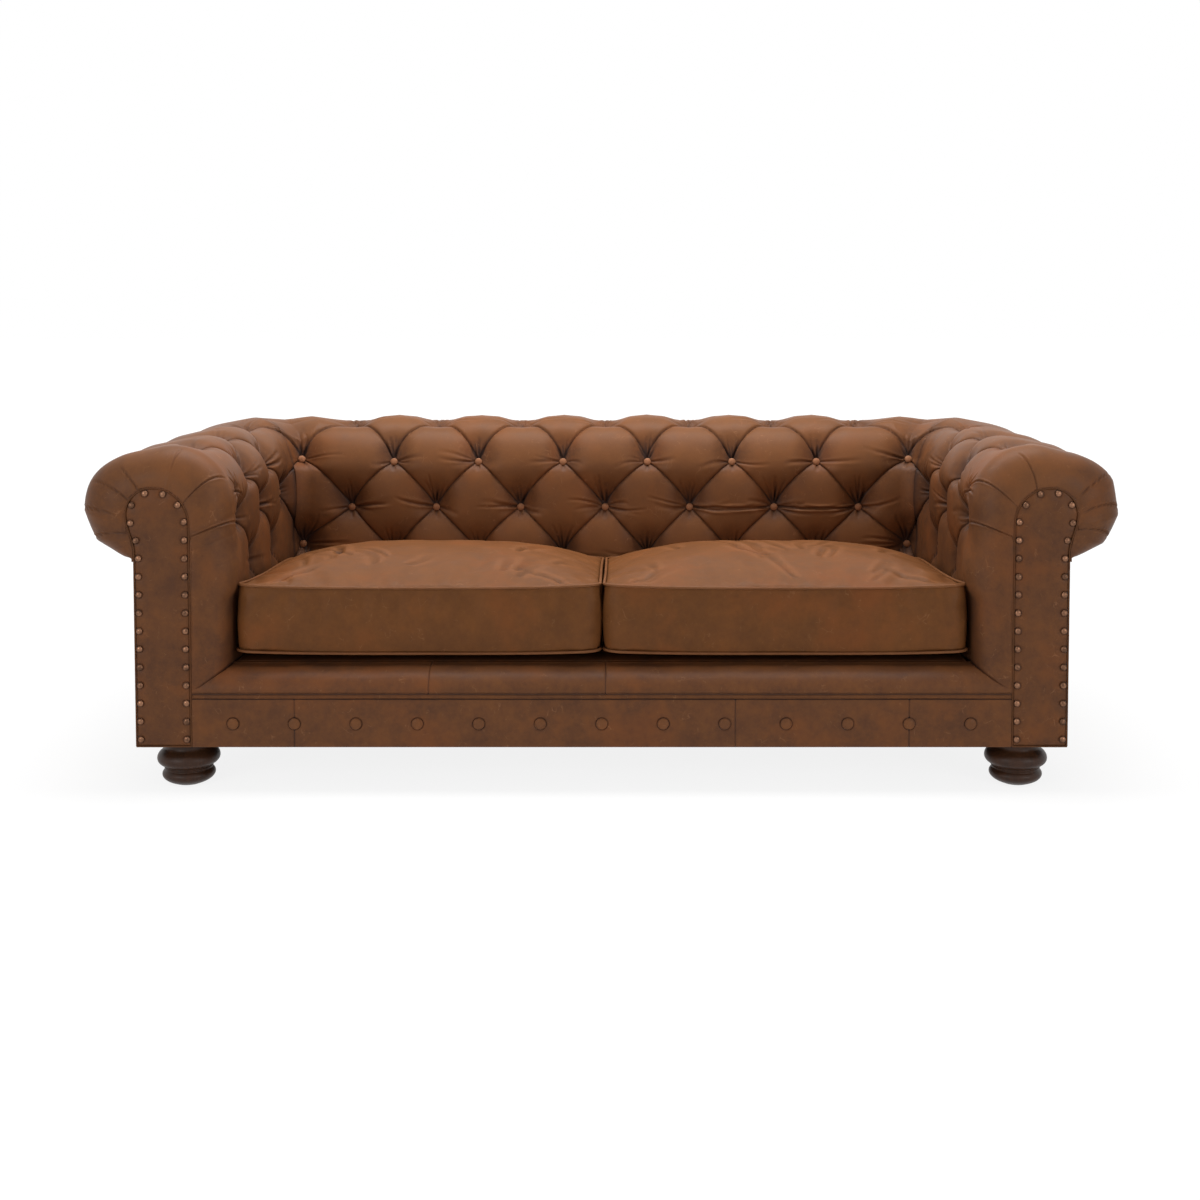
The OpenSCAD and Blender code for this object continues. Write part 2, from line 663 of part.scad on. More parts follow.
module lip_foam() {
    depth = lip_t + clear;
    rear = lip_d - clear;
    under = spring_z + clip_h;
    color("khaki") placed() along_back(seat_w + 2 * panel_in - 2 * clear)
        polygon(concat([[depth, lip_z]], lip_line(depth), [[rear, lip_top - depth], [rear, under],
            [panel_t + 1, under], [panel_t + 1, lip_z]]));
}

module front_band() {
    color("saddlebrown") placed() along_back(seat_w + 2 * panel_in - 2 * clear)
        translate([0, foot_h]) square([panel_t + 2, band_h]);
}

module front_welt() {
    color("sienna") placed() along_back(seat_w + 2 * panel_in - 2 * clear) translate([1, welt_z]) {
        for (z = [cord_r, 3 * cord_r]) translate([cord_r - 1, z]) circle(cord_r);
        translate([cord_r - 1, 0.5]) square([panel_t + 2 - cord_r, 4 * cord_r - 1]);
    }
}

// A low dome on its flat base, as a covered button or a nail's head shows
function dome_line(r, h) = [for (a = [0:15:75]) [r * cos(a), h * (0.2 + 0.8 * sin(a))]];
module dome(r, h) {
    rotate_extrude() polygon(concat([[0, 0], [r, 0]], dome_line(r, h), [[0, h]]));
}

module front_band_buttons() {
    color("sienna") placed() for (i = [0:band_buttons - 1])
        translate([(i - (band_buttons - 1) / 2) * band_pitch, 0, foot_h + band_button_z])
            rotate([90, 0, 0]) dome(band_button_r, band_button_h);
}

module arm_foam(side) {
    color("khaki") on_side(side)
        along_arm(lip_d + clear, seat_d - corner_r - clear) foam_shape();
}

module back_foam() {
    color("khaki") placed() translate([0, seat_d, 0]) along_back(2 * corner_start) foam_shape();
}

module arm_padding(side) {
    points = concat(
        [for (i = [0:arm_col_n], j = [0:station_n]) arm_outer(i, j)],
        [for (i = arm_picks, j = row_picks) arm_inner(i, j)]);
    color("saddlebrown") on_side(side)
        polyhedron(points, shell_faces(arm_col_n, station_n, arm_picks, row_picks));
}

module back_padding() {
    points = concat(
        [for (i = [0:back_col_n], j = [0:station_n]) back_outer(i, j)],
        [for (i = back_picks, j = row_picks) back_inner(i, j)]);
    color("saddlebrown") placed()
        polyhedron(points, shell_faces(back_col_n, station_n, back_picks, row_picks));
}

// A button of the buttoning, with a pointed shank that starts just above the bottom of its pit
module tuft_button(lift) {
    shank_r = 1.5;
    point_h = 2.4;
    high = 5.5;
    rotate_extrude() polygon(concat(
        [[0, clear], [shank_r, point_h], [shank_r, lift], [tuft_button_r, lift]],
        [for (p = dome_line(tuft_button_r, high)) [p[0], p[1] + lift]],
        [[0, lift + high]]));
}

// Puts a button where column k and row v cross, square to the padding
module at_button(k, v) {
    s = k * pitch;
    u = row_u(s, v);
    p = skin(s, u, tuft_depth);
    out = min(max((abs(s) - corner_start) / corner_len, 0), 1) * 90;
    heading = s < 0 ? 90 + out : 90 - out;
    by_corner = abs(k) > last_back && abs(k) < last_back + 1.5;
    translate(p) rotate([0, 0, heading]) rotate([0, 90 - turn_at(u), 0])
        tuft_button(by_corner ? corner_button_lift : button_lift);
}

module arm_buttons(side) {
    color("peru") on_side(side) {
        for (k = [last_back + 1:last_col], v = [0, 2]) at_button(k, v);
        for (k = [last_back + 1.5:last_col - 0.5], v = [1, 3]) at_button(k, v);
    }
}

module back_buttons() {
    color("peru") placed() {
        for (k = [-last_back:last_back], v = [0, 2]) at_button(k, v);
        for (k = [-last_back - 0.5:last_back + 0.5], v = [1, 3]) at_button(k, v);
    }
}

// Plan line of the outside skin, grown inward by a depth, from the corner's start to the rear
corner_out_r = corner_r + corner_grow * arm_t;
corner_out_x = half_w + arm_t - corner_out_r;
corner_out_y = seat_d + arm_t - corner_out_r;
module rear_shape(depth) {
    translate([-corner_out_x, corner_out_y]) square([2 * corner_out_x, corner_out_r - depth]);
    for (side = [-1, 1]) translate([side * corner_out_x, corner_out_y]) intersection() {
        circle(corner_out_r - depth);
        translate([side > 0 ? 0 : -corner_out_r, 0]) square(corner_out_r);
    }
}

module outside_back() {
    color("saddlebrown") placed() translate([0, 0, foot_h]) linear_extrude(tuck_z - 1 - foot_h)
        difference() {
            rear_shape(0);
            rear_shape(side_t);
            translate([-corner_out_x, corner_out_y - 1]) square([2 * corner_out_x, 2]);
        }
}

module outside_arm(side) {
    x = half_w + arm_t;
    color("saddlebrown") on_side(side)
        block(x - side_t, x, panel_t, corner_out_y - clear, foot_h, tuck_z - 1);
}

module front_panel(side) {
    color("saddlebrown") on_side(side) along_arm(0, panel_t)
        outline_shape(-panel_welt - clear, foot_h + panel_welt + clear);
}

module panel_welt(side) {
    color("sienna") on_side(side) along_arm(-1.5, panel_t) difference() {
        outline_shape(0, foot_h);
        outline_shape(-panel_welt, foot_h + panel_welt);
    }
}

// The line of nails runs up the outer edge, over the head and down the inner edge
nail_low = foot_h + nail_inset + 6;
nail_out_len = neck_z - nail_low;
nail_in_len = head_in_z - nail_low;
nail_head_r = head_r_out - nail_inset;
nail_inner_r = head_r_in - nail_inset;
nail_head_len = nail_head_r * (90 - neck_turn) * PI / 180;
nail_arc_len = nail_inner_r * PI / 2;
nail_len = nail_out_len + nail_head_len + nail_arc_len + nail_in_len;
function nail_at(l) =
    l < nail_out_len ? [arm_t - nail_inset, nail_low + l]
    : l < nail_out_len + nail_head_len
        ? let (a = neck_turn + (l - nail_out_len) / nail_head_r * 180 / PI)
            [head_d + nail_head_r * cos(a), head_out_z + nail_head_r * sin(a)]
    : l < nail_out_len + nail_head_len + nail_arc_len
        ? let (a = 90 + (l - nail_out_len - nail_head_len) / nail_inner_r * 180 / PI)
            [head_d + nail_inner_r * cos(a), head_in_z + nail_inner_r * sin(a)]
    : [panel_in + nail_inset, nail_low + nail_len - l];

module panel_nails(side) {
    color("rosybrown") on_side(side) for (i = [0:nail_count - 1]) {
        p = nail_at(nail_len * i / (nail_count - 1) * 0.9999);
        translate([half_w + p[0], 0, p[1]]) rotate([90, 0, 0]) dome(nail_r, nail_h);
    }
}

module cushion_place(side) {
    placed() translate([side * cushion_x, cushion_y, 0]) children();
}

// The block of foam that fills a cushion, grown by a gap to make room for it
module cushion_block(gap) {
    wall = 45;
    skin_t = 10;
    w = cover_x - wall + gap;
    d = cover_y - wall + gap;
    low = low_welt_z + skin_t - gap;
    top = top_welt_z - skin_t + gap;
    rotate([90, 0, 90]) translate([0, 0, -w]) linear_extrude(2 * w)
        polygon([[-d, low], [d, low], [d, top - fall(d)], [-d, top - fall(-d)]]);
}

module cushion_foam(side) {
    color("khaki") cushion_place(side) cushion_block(0);
}

module cushion_cover(side) {
    rings = len(cushion_rings);
    n = len(rim(0, 0));
    top = top_welt_z - fall(0) + cushion_crown;
    bottom = low_welt_z - cushion_lift + clear;
    points = concat([for (r = cushion_rings) each cushion_ring(r[0], r[1])], [[0, 0, bottom], [0, 0, top]]);
    faces = concat(band_faces(rings, n), fan_faces(0, n, rings * n, false),
        fan_faces((rings - 1) * n, n, rings * n + 1, true));
    color("saddlebrown") cushion_place(side) difference() {
        polyhedron(points, faces);
        cushion_block(clear);
    }
}

module cushion_welts(side) {
    out = cushion_welt_r + 0.6;
    section = [for (a = [0:60:300]) cushion_welt_r * [cos(a), sin(a)]];
    level = rim(out, cushion_pull);
    low = [for (p = level) [p[0], p[1], low_welt_z]];
    top = [for (p = level) [p[0], p[1], top_welt_z - fall(p[1]) + corner_rise(p)]];
    n = len(level);
    color("sienna") cushion_place(side) for (path = [low, top])
        polyhedron(sweep_points(path, section, true), sweep_faces(n, 6, true));
}

module cushion_zip(side) {
    high = 8;
    level = rim(side_bulge + 0.8, side_pull);
    mid_z = (low_welt_z + top_welt_z - cushion_fall) / 2;
    path = [for (i = [4:2 + side_steps]) [level[i][0], level[i][1], mid_z]];
    section = [[0, -high], [1.5, -high], [1.5, high], [0, high]];
    color("darkgoldenrod") cushion_place(side)
        polyhedron(sweep_points(path, section, false), sweep_faces(len(path), 4, false));
}

// A turned bun foot: an upper bun on a short column, a neck, and a lower bun down to the toe
module foot(x, y) {
    upper = 22;
    low_z = (foot_h - bun_drop - upper) / 2;
    lower = low_z - 1;
    color("#3d2a22") placed() translate([x, y, 0]) difference() {
        rotate_extrude() difference() {
            union() {
                translate([bun_r - upper, foot_h - bun_drop]) circle(upper);
                square([neck_r, foot_h]);
                translate([low_bun_r - lower, low_z]) circle(lower);
            }
            polygon([[toe_r, -1], [bun_r, -1], [bun_r, low_z - 6], [low_bun_r - 2, low_z - 6]]);
        }
        translate([0, 0, foot_h - bolt_len / 2 - 1]) cylinder(r = bolt_r + clear, h = bolt_len);
    }
}

module foot_bolts() {
    color("silver") placed() for (x = [-foot_x, foot_x], y = [foot_front, foot_rear])
        translate([x, y, foot_h - bolt_len / 2 - 1]) cylinder(r = bolt_r, h = bolt_len);
}

module dust_cover() {
    inset = 6;
    color("dimgray") placed() translate([0, 0, foot_h - dust_t]) linear_extrude(dust_t) difference() {
        union() {
            translate([-half_w - arm_t + inset, inset])
                square([2 * (half_w + arm_t - inset), corner_out_y - inset]);
            rear_shape(inset);
        }
        for (x = [-foot_x, foot_x], y = [foot_front, foot_rear]) translate([x, y]) circle(bun_r + 2);
    }
}

front_rail();
rear_rail();
side_rail(-1);  // left_side_rail
side_rail(1);  // right_side_rail
centre_rail();
corner_blocks();
arm_front_post(-1);  // left_arm_front_post
arm_front_post(1);  // right_arm_front_post
arm_rear_post(-1);  // left_arm_rear_post
arm_rear_post(1);  // right_arm_rear_post
arm_rail(-1);  // left_arm_rail
arm_rail(1);  // right_arm_rail
back_rail();
back_uprights();
arm_liner(-1);  // left_arm_liner
arm_liner(1);  // right_arm_liner
back_liner();
seat_springs();
spring_clips();
deck_pad();
deck_cover();
lip_foam();
front_lip();
front_band();
front_welt();
front_band_buttons();
arm_foam(-1);  // left_arm_foam
arm_foam(1);  // right_arm_foam
back_foam();
arm_padding(-1);  // left_arm_padding
arm_padding(1);  // right_arm_padding
back_padding();
arm_buttons(-1);  // left_arm_buttons
arm_buttons(1);  // right_arm_buttons
back_buttons();
outside_arm(-1);  // left_outside_arm
outside_arm(1);  // right_outside_arm
outside_back();
front_panel(-1);  // left_front_panel
front_panel(1);  // right_front_panel
panel_welt(-1);  // left_panel_welt
panel_welt(1);  // right_panel_welt
panel_nails(-1);  // left_panel_nails
panel_nails(1);  // right_panel_nails
cushion_cover(-1);  // left_cushion_cover
cushion_cover(1);  // right_cushion_cover
cushion_foam(-1);  // left_cushion_foam
cushion_foam(1);  // right_cushion_foam
cushion_welts(-1);  // left_cushion_welts
cushion_welts(1);  // right_cushion_welts
cushion_zip(-1);  // left_cushion_zip
cushion_zip(1);  // right_cushion_zip
foot(-foot_x, foot_front);  // front_left_foot
foot(foot_x, foot_front);  // front_right_foot
foot(-foot_x, foot_rear);  // rear_left_foot
foot(foot_x, foot_rear);  // rear_right_foot
foot_bolts();
dust_cover();
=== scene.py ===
# A two-seat sofa with rolled, deep-buttoned arms and back in waxed pull-up leather, dressed round its frame.
# Sizes are in millimetres, with Y counted from the arm fronts, until metres() turns them to the row frame.
import math

import bmesh
import bpy
import numpy as np
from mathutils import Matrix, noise
from mathutils.kdtree import KDTree


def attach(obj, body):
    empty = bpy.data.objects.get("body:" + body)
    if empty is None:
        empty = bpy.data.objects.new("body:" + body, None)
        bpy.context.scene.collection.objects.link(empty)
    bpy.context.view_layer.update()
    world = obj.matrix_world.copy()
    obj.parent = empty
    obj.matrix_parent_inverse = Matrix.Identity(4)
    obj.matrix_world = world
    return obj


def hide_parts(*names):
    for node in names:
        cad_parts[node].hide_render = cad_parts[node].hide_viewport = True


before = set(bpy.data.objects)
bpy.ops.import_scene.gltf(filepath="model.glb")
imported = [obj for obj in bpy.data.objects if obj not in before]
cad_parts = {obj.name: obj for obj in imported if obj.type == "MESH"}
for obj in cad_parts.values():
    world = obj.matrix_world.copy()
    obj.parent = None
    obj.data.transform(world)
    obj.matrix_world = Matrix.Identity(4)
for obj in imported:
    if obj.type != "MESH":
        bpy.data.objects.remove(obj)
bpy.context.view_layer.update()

# Driving sizes, the same as the frame's
SEAT_W, SEAT_D, FOOT_H, ROLL_TOP = 1624.0, 690.0, 97.5, 753.0
SHOULDER_R, SCROLL_R, ROLL_GAP, ARM_T, PAD_T = 132.0, 116.0, 72.0, 204.0, 45.0
CORNER_R, CORNER_GROW, CORNER_REF, CORNER_COL_IN = 50.0, 0.5, 10.0, 11.5
TUFT_DEPTH, TUFT_R, TUFT_H = 36.0, 9.5, 6.0
BUTTON_LIFT, CORNER_BUTTON_LIFT = 9.0, 13.0
BACK_ROWS = np.array([182.0, 30.0, -95.0, -220.0])
ARM_ROWS = np.array([188.0, 46.0, -46.0, -162.0])
PANEL_IN, HEAD_TOP, HEAD_R_IN, HEAD_R_OUT, PANEL_T = 81.0, 668.0, 80.0, 61.0, 12.0
EDGE_T, ROUND_Y, PANEL_WELT = 3.0, 70.0, 4.0
NAIL_R, NAIL_H, NAIL_INSET, NAIL_COUNT = 7.0, 4.0, 11.5, 30
BAND_H, CORD_R, LIP_H, LIP_ROUND, LIP_T, LIP_D = 105.5, 2.7, 51.0, 60.0, 4.0, 80.0
BAND_BUTTONS, BAND_BUTTON_R, BAND_BUTTON_H, BAND_PITCH, BAND_BUTTON_Z = 13, 12.5, 4.0, 134.0, 52.0
DECK_Z, CUSHION_GAP, CUSHION_SIDE_GAP, CUSHION_FRONT = 270.0, 4.0, 5.0, 48.0
CUSHION_LIFT, CUSHION_BOX, CUSHION_CROWN, CUSHION_FALL, CUSHION_PULL = 21.0, 146.0, 52.0, 26.0, 8.0
CUSHION_CORNER, CUSHION_WELT_R, CORNER_LIFT = 30.0, 4.0, 8.0
FOOT_OUT, FOOT_FRONT = 109.0, 75.0
CLEAR = 0.3

# What follows from them
HALF_W = SEAT_W / 2
ROLL_Z = ROLL_TOP - SHOULDER_R
SCROLL_D = SHOULDER_R + ROLL_GAP
REACH = SCROLL_D + SCROLL_R
LEAN = math.degrees(math.asin((SHOULDER_R - SCROLL_R) / ROLL_GAP))
CREST_TURN = 90 - LEAN
TUCK_TURN = -math.degrees(math.acos((ARM_T - SCROLL_D) / SCROLL_R))
SHOULDER_LEN = SHOULDER_R * math.radians(180 - CREST_TURN)
FLAT_LEN = ROLL_GAP * math.cos(math.radians(LEAN))
SCROLL_START = SHOULDER_LEN + FLAT_LEN
ROLL_LEN = SCROLL_START + SCROLL_R * math.radians(CREST_TURN - TUCK_TURN)
TUCK_Z = ROLL_Z + SCROLL_R * math.sin(math.radians(TUCK_TURN))
MID_Y = (SEAT_D + REACH - max(NAIL_H, BAND_BUTTON_H)) / 2
WELT_Z = FOOT_H + BAND_H + CLEAR
LIP_Z = WELT_Z + 4 * CORD_R + CLEAR
LIP_TOP = LIP_Z + LIP_H
LIP_START = LIP_Z + 2
PAD_FLOOR = LIP_TOP + 1.5
CORNER_START = HALF_W - CORNER_R
CORNER_LEN = (CORNER_R + CORNER_REF) * math.pi / 2
ARM_START = CORNER_START + CORNER_LEN
FAN_LEN = 100.0
WAVE = 85.0  # length of the stuffing's slow unevenness
LAST_BACK, LAST_COL = 3, 6
PITCH = (CORNER_START + CORNER_COL_IN) / (LAST_BACK + 0.5)
SEAM_S = (LAST_BACK + 0.5 + 0.5 / 3) * PITCH
ROUND_S = ARM_START + SEAT_D - CORNER_R - ROUND_Y
HEAD_D = PANEL_IN + HEAD_R_IN
HEAD_IN_Z = HEAD_TOP - HEAD_R_IN
HEAD_OUT_Z = HEAD_TOP - HEAD_R_OUT
NECK_H = 85.0
FRONT_LEN = SEAT_W + 2 * PANEL_IN - 2 * CLEAR
MM = 0.001
SIDES = {-1: "left", 1: "right"}


def metres(points):
    """Millimetres counted from the arm fronts, as metres in the row frame."""
    out = np.array(points, dtype=float)
    out[..., 1] -= MID_Y
    return out * MM


def smooth(t):
    t = np.clip(t, 0, 1)
    return t * t * (3 - 2 * t)


def mix(a, b, t):
    return a + (b - a) * t


# Materials


def paint(hex_code):
    """An sRGB hex value as a linear colour."""
    parts = [int(hex_code[i : i + 2], 16) / 255 for i in (1, 3, 5)]
    return tuple(c / 12.92 if c <= 0.04045 else ((c + 0.055) / 1.055) ** 2.4 for c in parts) + (1.0,)


def feed(tree, node, inputs):
    """Sets a node's inputs, or links them to other nodes' outputs."""
    for socket, value in inputs.items():
        if isinstance(value, bpy.types.NodeSocket):
            tree.links.new(value, node.inputs[socket])
        else:
            node.inputs[socket].default_value = value


def add(tree, kind, inputs=None, **settings):
    """Adds one node to a tree."""
    node = tree.nodes.new(kind)
    for name, value in settings.items():
        setattr(node, name, value)
    feed(tree, node, inputs or {})
    return node


def maths(tree, operation, *values, kind="ShaderNodeMath"):
    return add(tree, kind, dict(enumerate(values)), operation=operation).outputs[0]


def scaled(tree, value, low, high, to_low=0.0, to_high=1.0):
    """A value's range from low to high, drawn out to another range."""
    ends = {"Value": value, "From Min": low, "From Max": high, "To Min": to_low, "To Max": to_high}
    return add(tree, "ShaderNodeMapRange", ends).outputs[0]


def blend(tree, share, under, over):
    """One colour over another. Each is a hex value or another node's colour."""
    a, b = (paint(c) if isinstance(c, str) else c for c in (under, over))
    return add(tree, "ShaderNodeMix", {"Factor": share, "A": a, "B": b}, data_type="RGBA").outputs["Result"]


def clouds(tree, place, scale, detail, rough=0.5, out="Fac"):
    values = {"Vector": place, "Scale": scale, "Detail": detail, "Roughness": rough}
    return add(tree, "ShaderNodeTexNoise", values).outputs[out]


def cracks(tree, place, scale, feature="DISTANCE_TO_EDGE"):
    return add(tree, "ShaderNodeTexVoronoi", {"Vector": place, "Scale": scale}, feature=feature).outputs["Distance"]


def bumps(tree, height, strength, far):
    return add(tree, "ShaderNodeBump", {"Strength": strength, "Distance": far, "Height": height}).outputs[0]


def new_material(name):
    """A material with its node tree, its shader and the place on the object."""
    material = bpy.data.materials.new(name)
    material.use_nodes = True
    tree = material.node_tree
    tree.nodes.clear()
    shader = add(tree, "ShaderNodeBsdfPrincipled")
    add(tree, "ShaderNodeOutputMaterial", {"Surface": shader.outputs[0]})
    return material, tree, shader, add(tree, "ShaderNodeTexCoord").outputs["Object"]


def waxed_leather(name, shade, base, glow, red, fold, shine=0.13):
    """Pull-up leather: a waxed, drum-dyed hide with soft clouds of dye and reddish patches, paler where it is
    pulled tight over the stuffing, partly as a painted highlight, and darker with wax and painted shade in the folds,
    with fine pale scuffs and a low sheen."""
    material, tree, shader, place = new_material(name)
    crest = add(tree, "ShaderNodeAttribute", attribute_name="crest").outputs["Fac"]
    # Clouds of dye some 80 mm across, with mottling of 5 to 15 mm in them, and reddish patches twice as wide
    dye = clouds(tree, place, 12.0, 8.0, 0.8)
    colour = blend(tree, scaled(tree, dye, 0.36, 0.62), shade, base)
    colour = blend(tree, scaled(tree, clouds(tree, place, 6.0, 5.0, 0.65), 0.5, 0.7, 0.0, 0.45), colour, red)
    # Paler where the hide is pulled tight: partly pull-up wax paling, partly a painted highlight on the crests
    colour = blend(tree, scaled(tree, crest, 0.5, 1.05, 0.0, 0.55), colour, glow)
    # Scuffs: broken hairlines some 20 mm long
    warp = clouds(tree, place, 22.0, 3.0, out="Color")
    warp = maths(tree, "MULTIPLY", warp, (0.05, 0.05, 0.05), kind="ShaderNodeVectorMath")
    lines = cracks(tree, maths(tree, "ADD", place, warp, kind="ShaderNodeVectorMath"), 38.0)
    where = scaled(tree, clouds(tree, place, 30.0, 4.0, 0.7), 0.56, 0.66)
    colour = blend(tree, maths(tree, "MULTIPLY", scaled(tree, lines, 0.0, 0.035, 0.5, 0.0), where), colour, "#9a6a48")
    # Dark wax and painted shade in the folds, pits and seams
    colour = blend(tree, scaled(tree, crest, -0.5, 0.35, 1.0, 0.0), colour, fold)
    # Grain of 3 mm, drawn coarser than the real 1 mm so that it shows, over finer pores
    grain = maths(tree, "ADD", cracks(tree, place, 330.0), clouds(tree, place, 160.0, 4.0))
    feed(tree, shader, {
        "Base Color": colour, "Roughness": scaled(tree, dye, 0.3, 0.7, 0.38, 0.54),
        "Normal": bumps(tree, grain, 0.1, 0.001), "Specular IOR Level": shine,
    })
    return material


def stained_wood(name, dark, light, roughness, rings):
    """Wood: fibres and growth lines along Z, 3 to 6 mm apart, under stain that gathers in the grain."""
    material, tree, shader, place = new_material(name)
    along = add(tree, "ShaderNodeMapping", {"Vector": place, "Scale": rings}).outputs[0]
    tone = maths(tree, "MULTIPLY_ADD", clouds(tree, along, 7.0, 3.0), 0.4, clouds(tree, along, 1.0, 6.0, 0.6))
    feed(tree, shader, {
        "Base Color": blend(tree, scaled(tree, tone, 0.45, 0.95), dark, light), "Roughness": roughness,
        "Normal": bumps(tree, tone, 0.25, 0.0008), "Specular IOR Level": 0.25,
    })
    return material


def metal(name, base, tarnish, roughness, size):
    """Plain or antiqued metal: patches of tarnish of the given scale, rougher than the bright metal."""
    material, tree, shader, place = new_material(name)
    spots = clouds(tree, place, size, 4.0, 0.65)
    feed(tree, shader, {
        "Base Color": blend(tree, scaled(tree, spots, 0.38, 0.62), base, tarnish), "Metallic": 1.0,
        "Roughness": scaled(tree, spots, 0.3, 0.7, roughness, roughness + 0.15),
    })
    return material


def soft_filling(name, base, shade, cell, roughness):
    """Foam, felt or woven tape: matt, with cells or threads of the given scale."""
    material, tree, shader, place = new_material(name)
    cells = cracks(tree, place, cell, "F1")
    feed(tree, shader, {
        "Base Color": blend(tree, cells, base, shade), "Roughness": roughness,
        "Normal": bumps(tree, cells, 0.3, 0.0006),
    })
    return material


pull_up_leather = waxed_leather("pull_up_leather", "#553624", "#6e4528", "#805230", "#754021", "#35231c")
seat_leather = waxed_leather("pull_up_leather_seat", "#633e22", "#744826", "#885735", "#7b4322", "#331e16", 0.1)
# A darker copy of the leather for the arm fronts' welts: painted shade in the seam round each panel
shaded_welt_leather = waxed_leather("pull_up_leather_welt", "#4a2d18", "#5c381e", "#71482a", "#65341b", "#2a140a")
# A paler copy of the leather for the cushions' welts: a painted highlight where the cords catch the light
lit_cord_leather = waxed_leather("pull_up_leather_cord_lit", "#6e4529", "#7d5132", "#8e603e", "#79462a", "#331e16")
button_leather = waxed_leather("pull_up_leather_button", "#835538", "#966446", "#a67554", "#8d5336", "#331e16")
walnut_stain = stained_wood("beech_dark_walnut_stain", "#23140b", "#472a19", 0.42, (26.0, 26.0, 5.0))
frame_timber = stained_wood("beech_sawn", "#9c7346", "#cda878", 0.75, (60.0, 60.0, 9.0))
liner_board = stained_wood("birch_plywood", "#b08a5a", "#d8bd92", 0.7, (9.0, 60.0, 60.0))
antique_brass = metal("brass_antiqued_copper", "#8b654e", "#5a4132", 0.29, 60.0)
spring_steel = metal("spring_steel_oiled", "#8c8d90", "#55565a", 0.35, 90.0)
cushion_foam = soft_filling("polyurethane_foam", "#e0d6b4", "#c3b58c", 500.0, 0.9)
black_cambric = soft_filling("cambric_underlining", "#1c1c1e", "#303034", 700.0, 0.95)
zip_tape = soft_filling("nylon_zip_tape", "#3a281c", "#5c4330", 900.0, 0.7)

# Meshes


def placed(name, data):
    """A new object in the scene."""
    piece = bpy.data.objects.new(name, data)
    bpy.context.scene.collection.objects.link(piece)
    return piece


def write_crest_and_shade(mesh, values):
    """Writes each vertex's crest value, which the leather's shader reads: high for pale crests and painted highlight,
    low for painted shade.
    """
    mesh.attributes.new("crest", "FLOAT", "POINT").data.foreach_set("value", values)


def enter(piece, node, body="sofa"):
    """Has a piece stand for a frame node: on its body, with the node's own part hidden."""
    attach(piece, body)
    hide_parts(node)


def make_piece(name, node, points, faces, material, crest=None, body="sofa"):
    """A mesh piece in the row frame, with its faces turned outward and a crest value on each vertex."""
    places = metres(points).reshape(-1, 3)
    tris = np.asarray(faces, dtype=np.int64)
    a, b, c = (places[tris[:, i]] for i in range(3))
    if np.einsum("ij,ij->i", a, np.cross(b, c)).sum() < 0:
        tris = tris[:, ::-1]
    mesh = bpy.data.meshes.new(name)
    mesh.vertices.add(len(places))
    mesh.vertices.foreach_set("co", places.ravel())
    mesh.loops.add(tris.size)
    mesh.loops.foreach_set("vertex_index", tris.ravel().astype(np.int32))
    mesh.polygons.add(len(tris))
    mesh.polygons.foreach_set("loop_start", np.arange(0, tris.size, 3, dtype=np.int32))
    mesh.update(calc_edges=True)
    mesh.validate()
    mesh.polygons.foreach_set("use_smooth", np.full(len(mesh.polygons), True))
    values = np.full(len(places), 0.6) if crest is None else np.asarray(crest, dtype=float).ravel()
    write_crest_and_shade(mesh, np.concatenate([values, np.full(len(places) - len(values), 0.3)]))
    mesh.materials.append(material)
    piece = placed(name, mesh)
    enter(piece, node, body)
    return piece


def wall_faces(rows, cols, closed_rows=False, closed_cols=False, slant=None):
    """Triangles of a grid of rows by cols points. slant says, for each square, which way its diagonal runs."""
    r = np.arange(rows if closed_rows else rows - 1)
    c = np.arange(cols if closed_cols else cols - 1)
    i, j = np.meshgrid(r, c, indexing="ij")
    i2, j2 = (i + 1) % rows, (j + 1) % cols
    a, b, d, e = i * cols + j, i2 * cols + j, i * cols + j2, i2 * cols + j2
    turn = np.zeros(i.shape, dtype=bool) if slant is None else slant
    one = np.where(turn[..., None], np.stack([a, b, d], -1), np.stack([a, b, e], -1))
    two = np.where(turn[..., None], np.stack([b, e, d], -1), np.stack([a, e, d], -1))
    return np.concatenate([one.reshape(-1, 3), two.reshape(-1, 3)])


def shell_faces(n, m, cols, rows, slant):
    """Triangles of a closed shell: an outer grid of n by m squares, an inner grid that keeps only the places
    in cols and rows, and the rim that joins them."""
    base, across = (n + 1) * (m + 1), len(rows)
    rim = []
    for c in range(len(cols) - 1):
        a, b = base + c * across, base + (c + 1) * across
        for i in range(cols[c], cols[c + 1]):
            rim.append((i * (m + 1), a, (i + 1) * (m + 1)))
            rim.append((i * (m + 1) + m, (i + 1) * (m + 1) + m, a + across - 1))
        rim.append((cols[c + 1] * (m + 1), a, b))
        rim.append((cols[c + 1] * (m + 1) + m, b + across - 1, a + across - 1))
    for r in range(across - 1):
        a, z = base + r, base + (len(cols) - 1) * across + r
        for j in range(rows[r], rows[r + 1]):
            rim += [(j, j + 1, a), (n * (m + 1) + j + 1, n * (m + 1) + j, z)]
        rim += [(rows[r + 1], a + 1, a), (n * (m + 1) + rows[r + 1], z, z + 1)]
    inner = base + wall_faces(len(cols), across)[:, ::-1]
    return np.concatenate([wall_faces(n + 1, m + 1, slant=slant), inner, np.array(rim)])


def capped_tube(rings, count):
    """Triangles of a tube of rings, closed at both ends by a fan round its first point."""
    last = (rings - 1) * count
    caps = [(0, j + 1, j) for j in range(1, count - 1)] + [(last, last + j, last + j + 1) for j in range(1, count - 1)]
    return np.concatenate([wall_faces(rings, count, closed_cols=True), np.array(caps)])


# Padding of the back and arms: u runs along its section from the shoulder's start, s along the plan


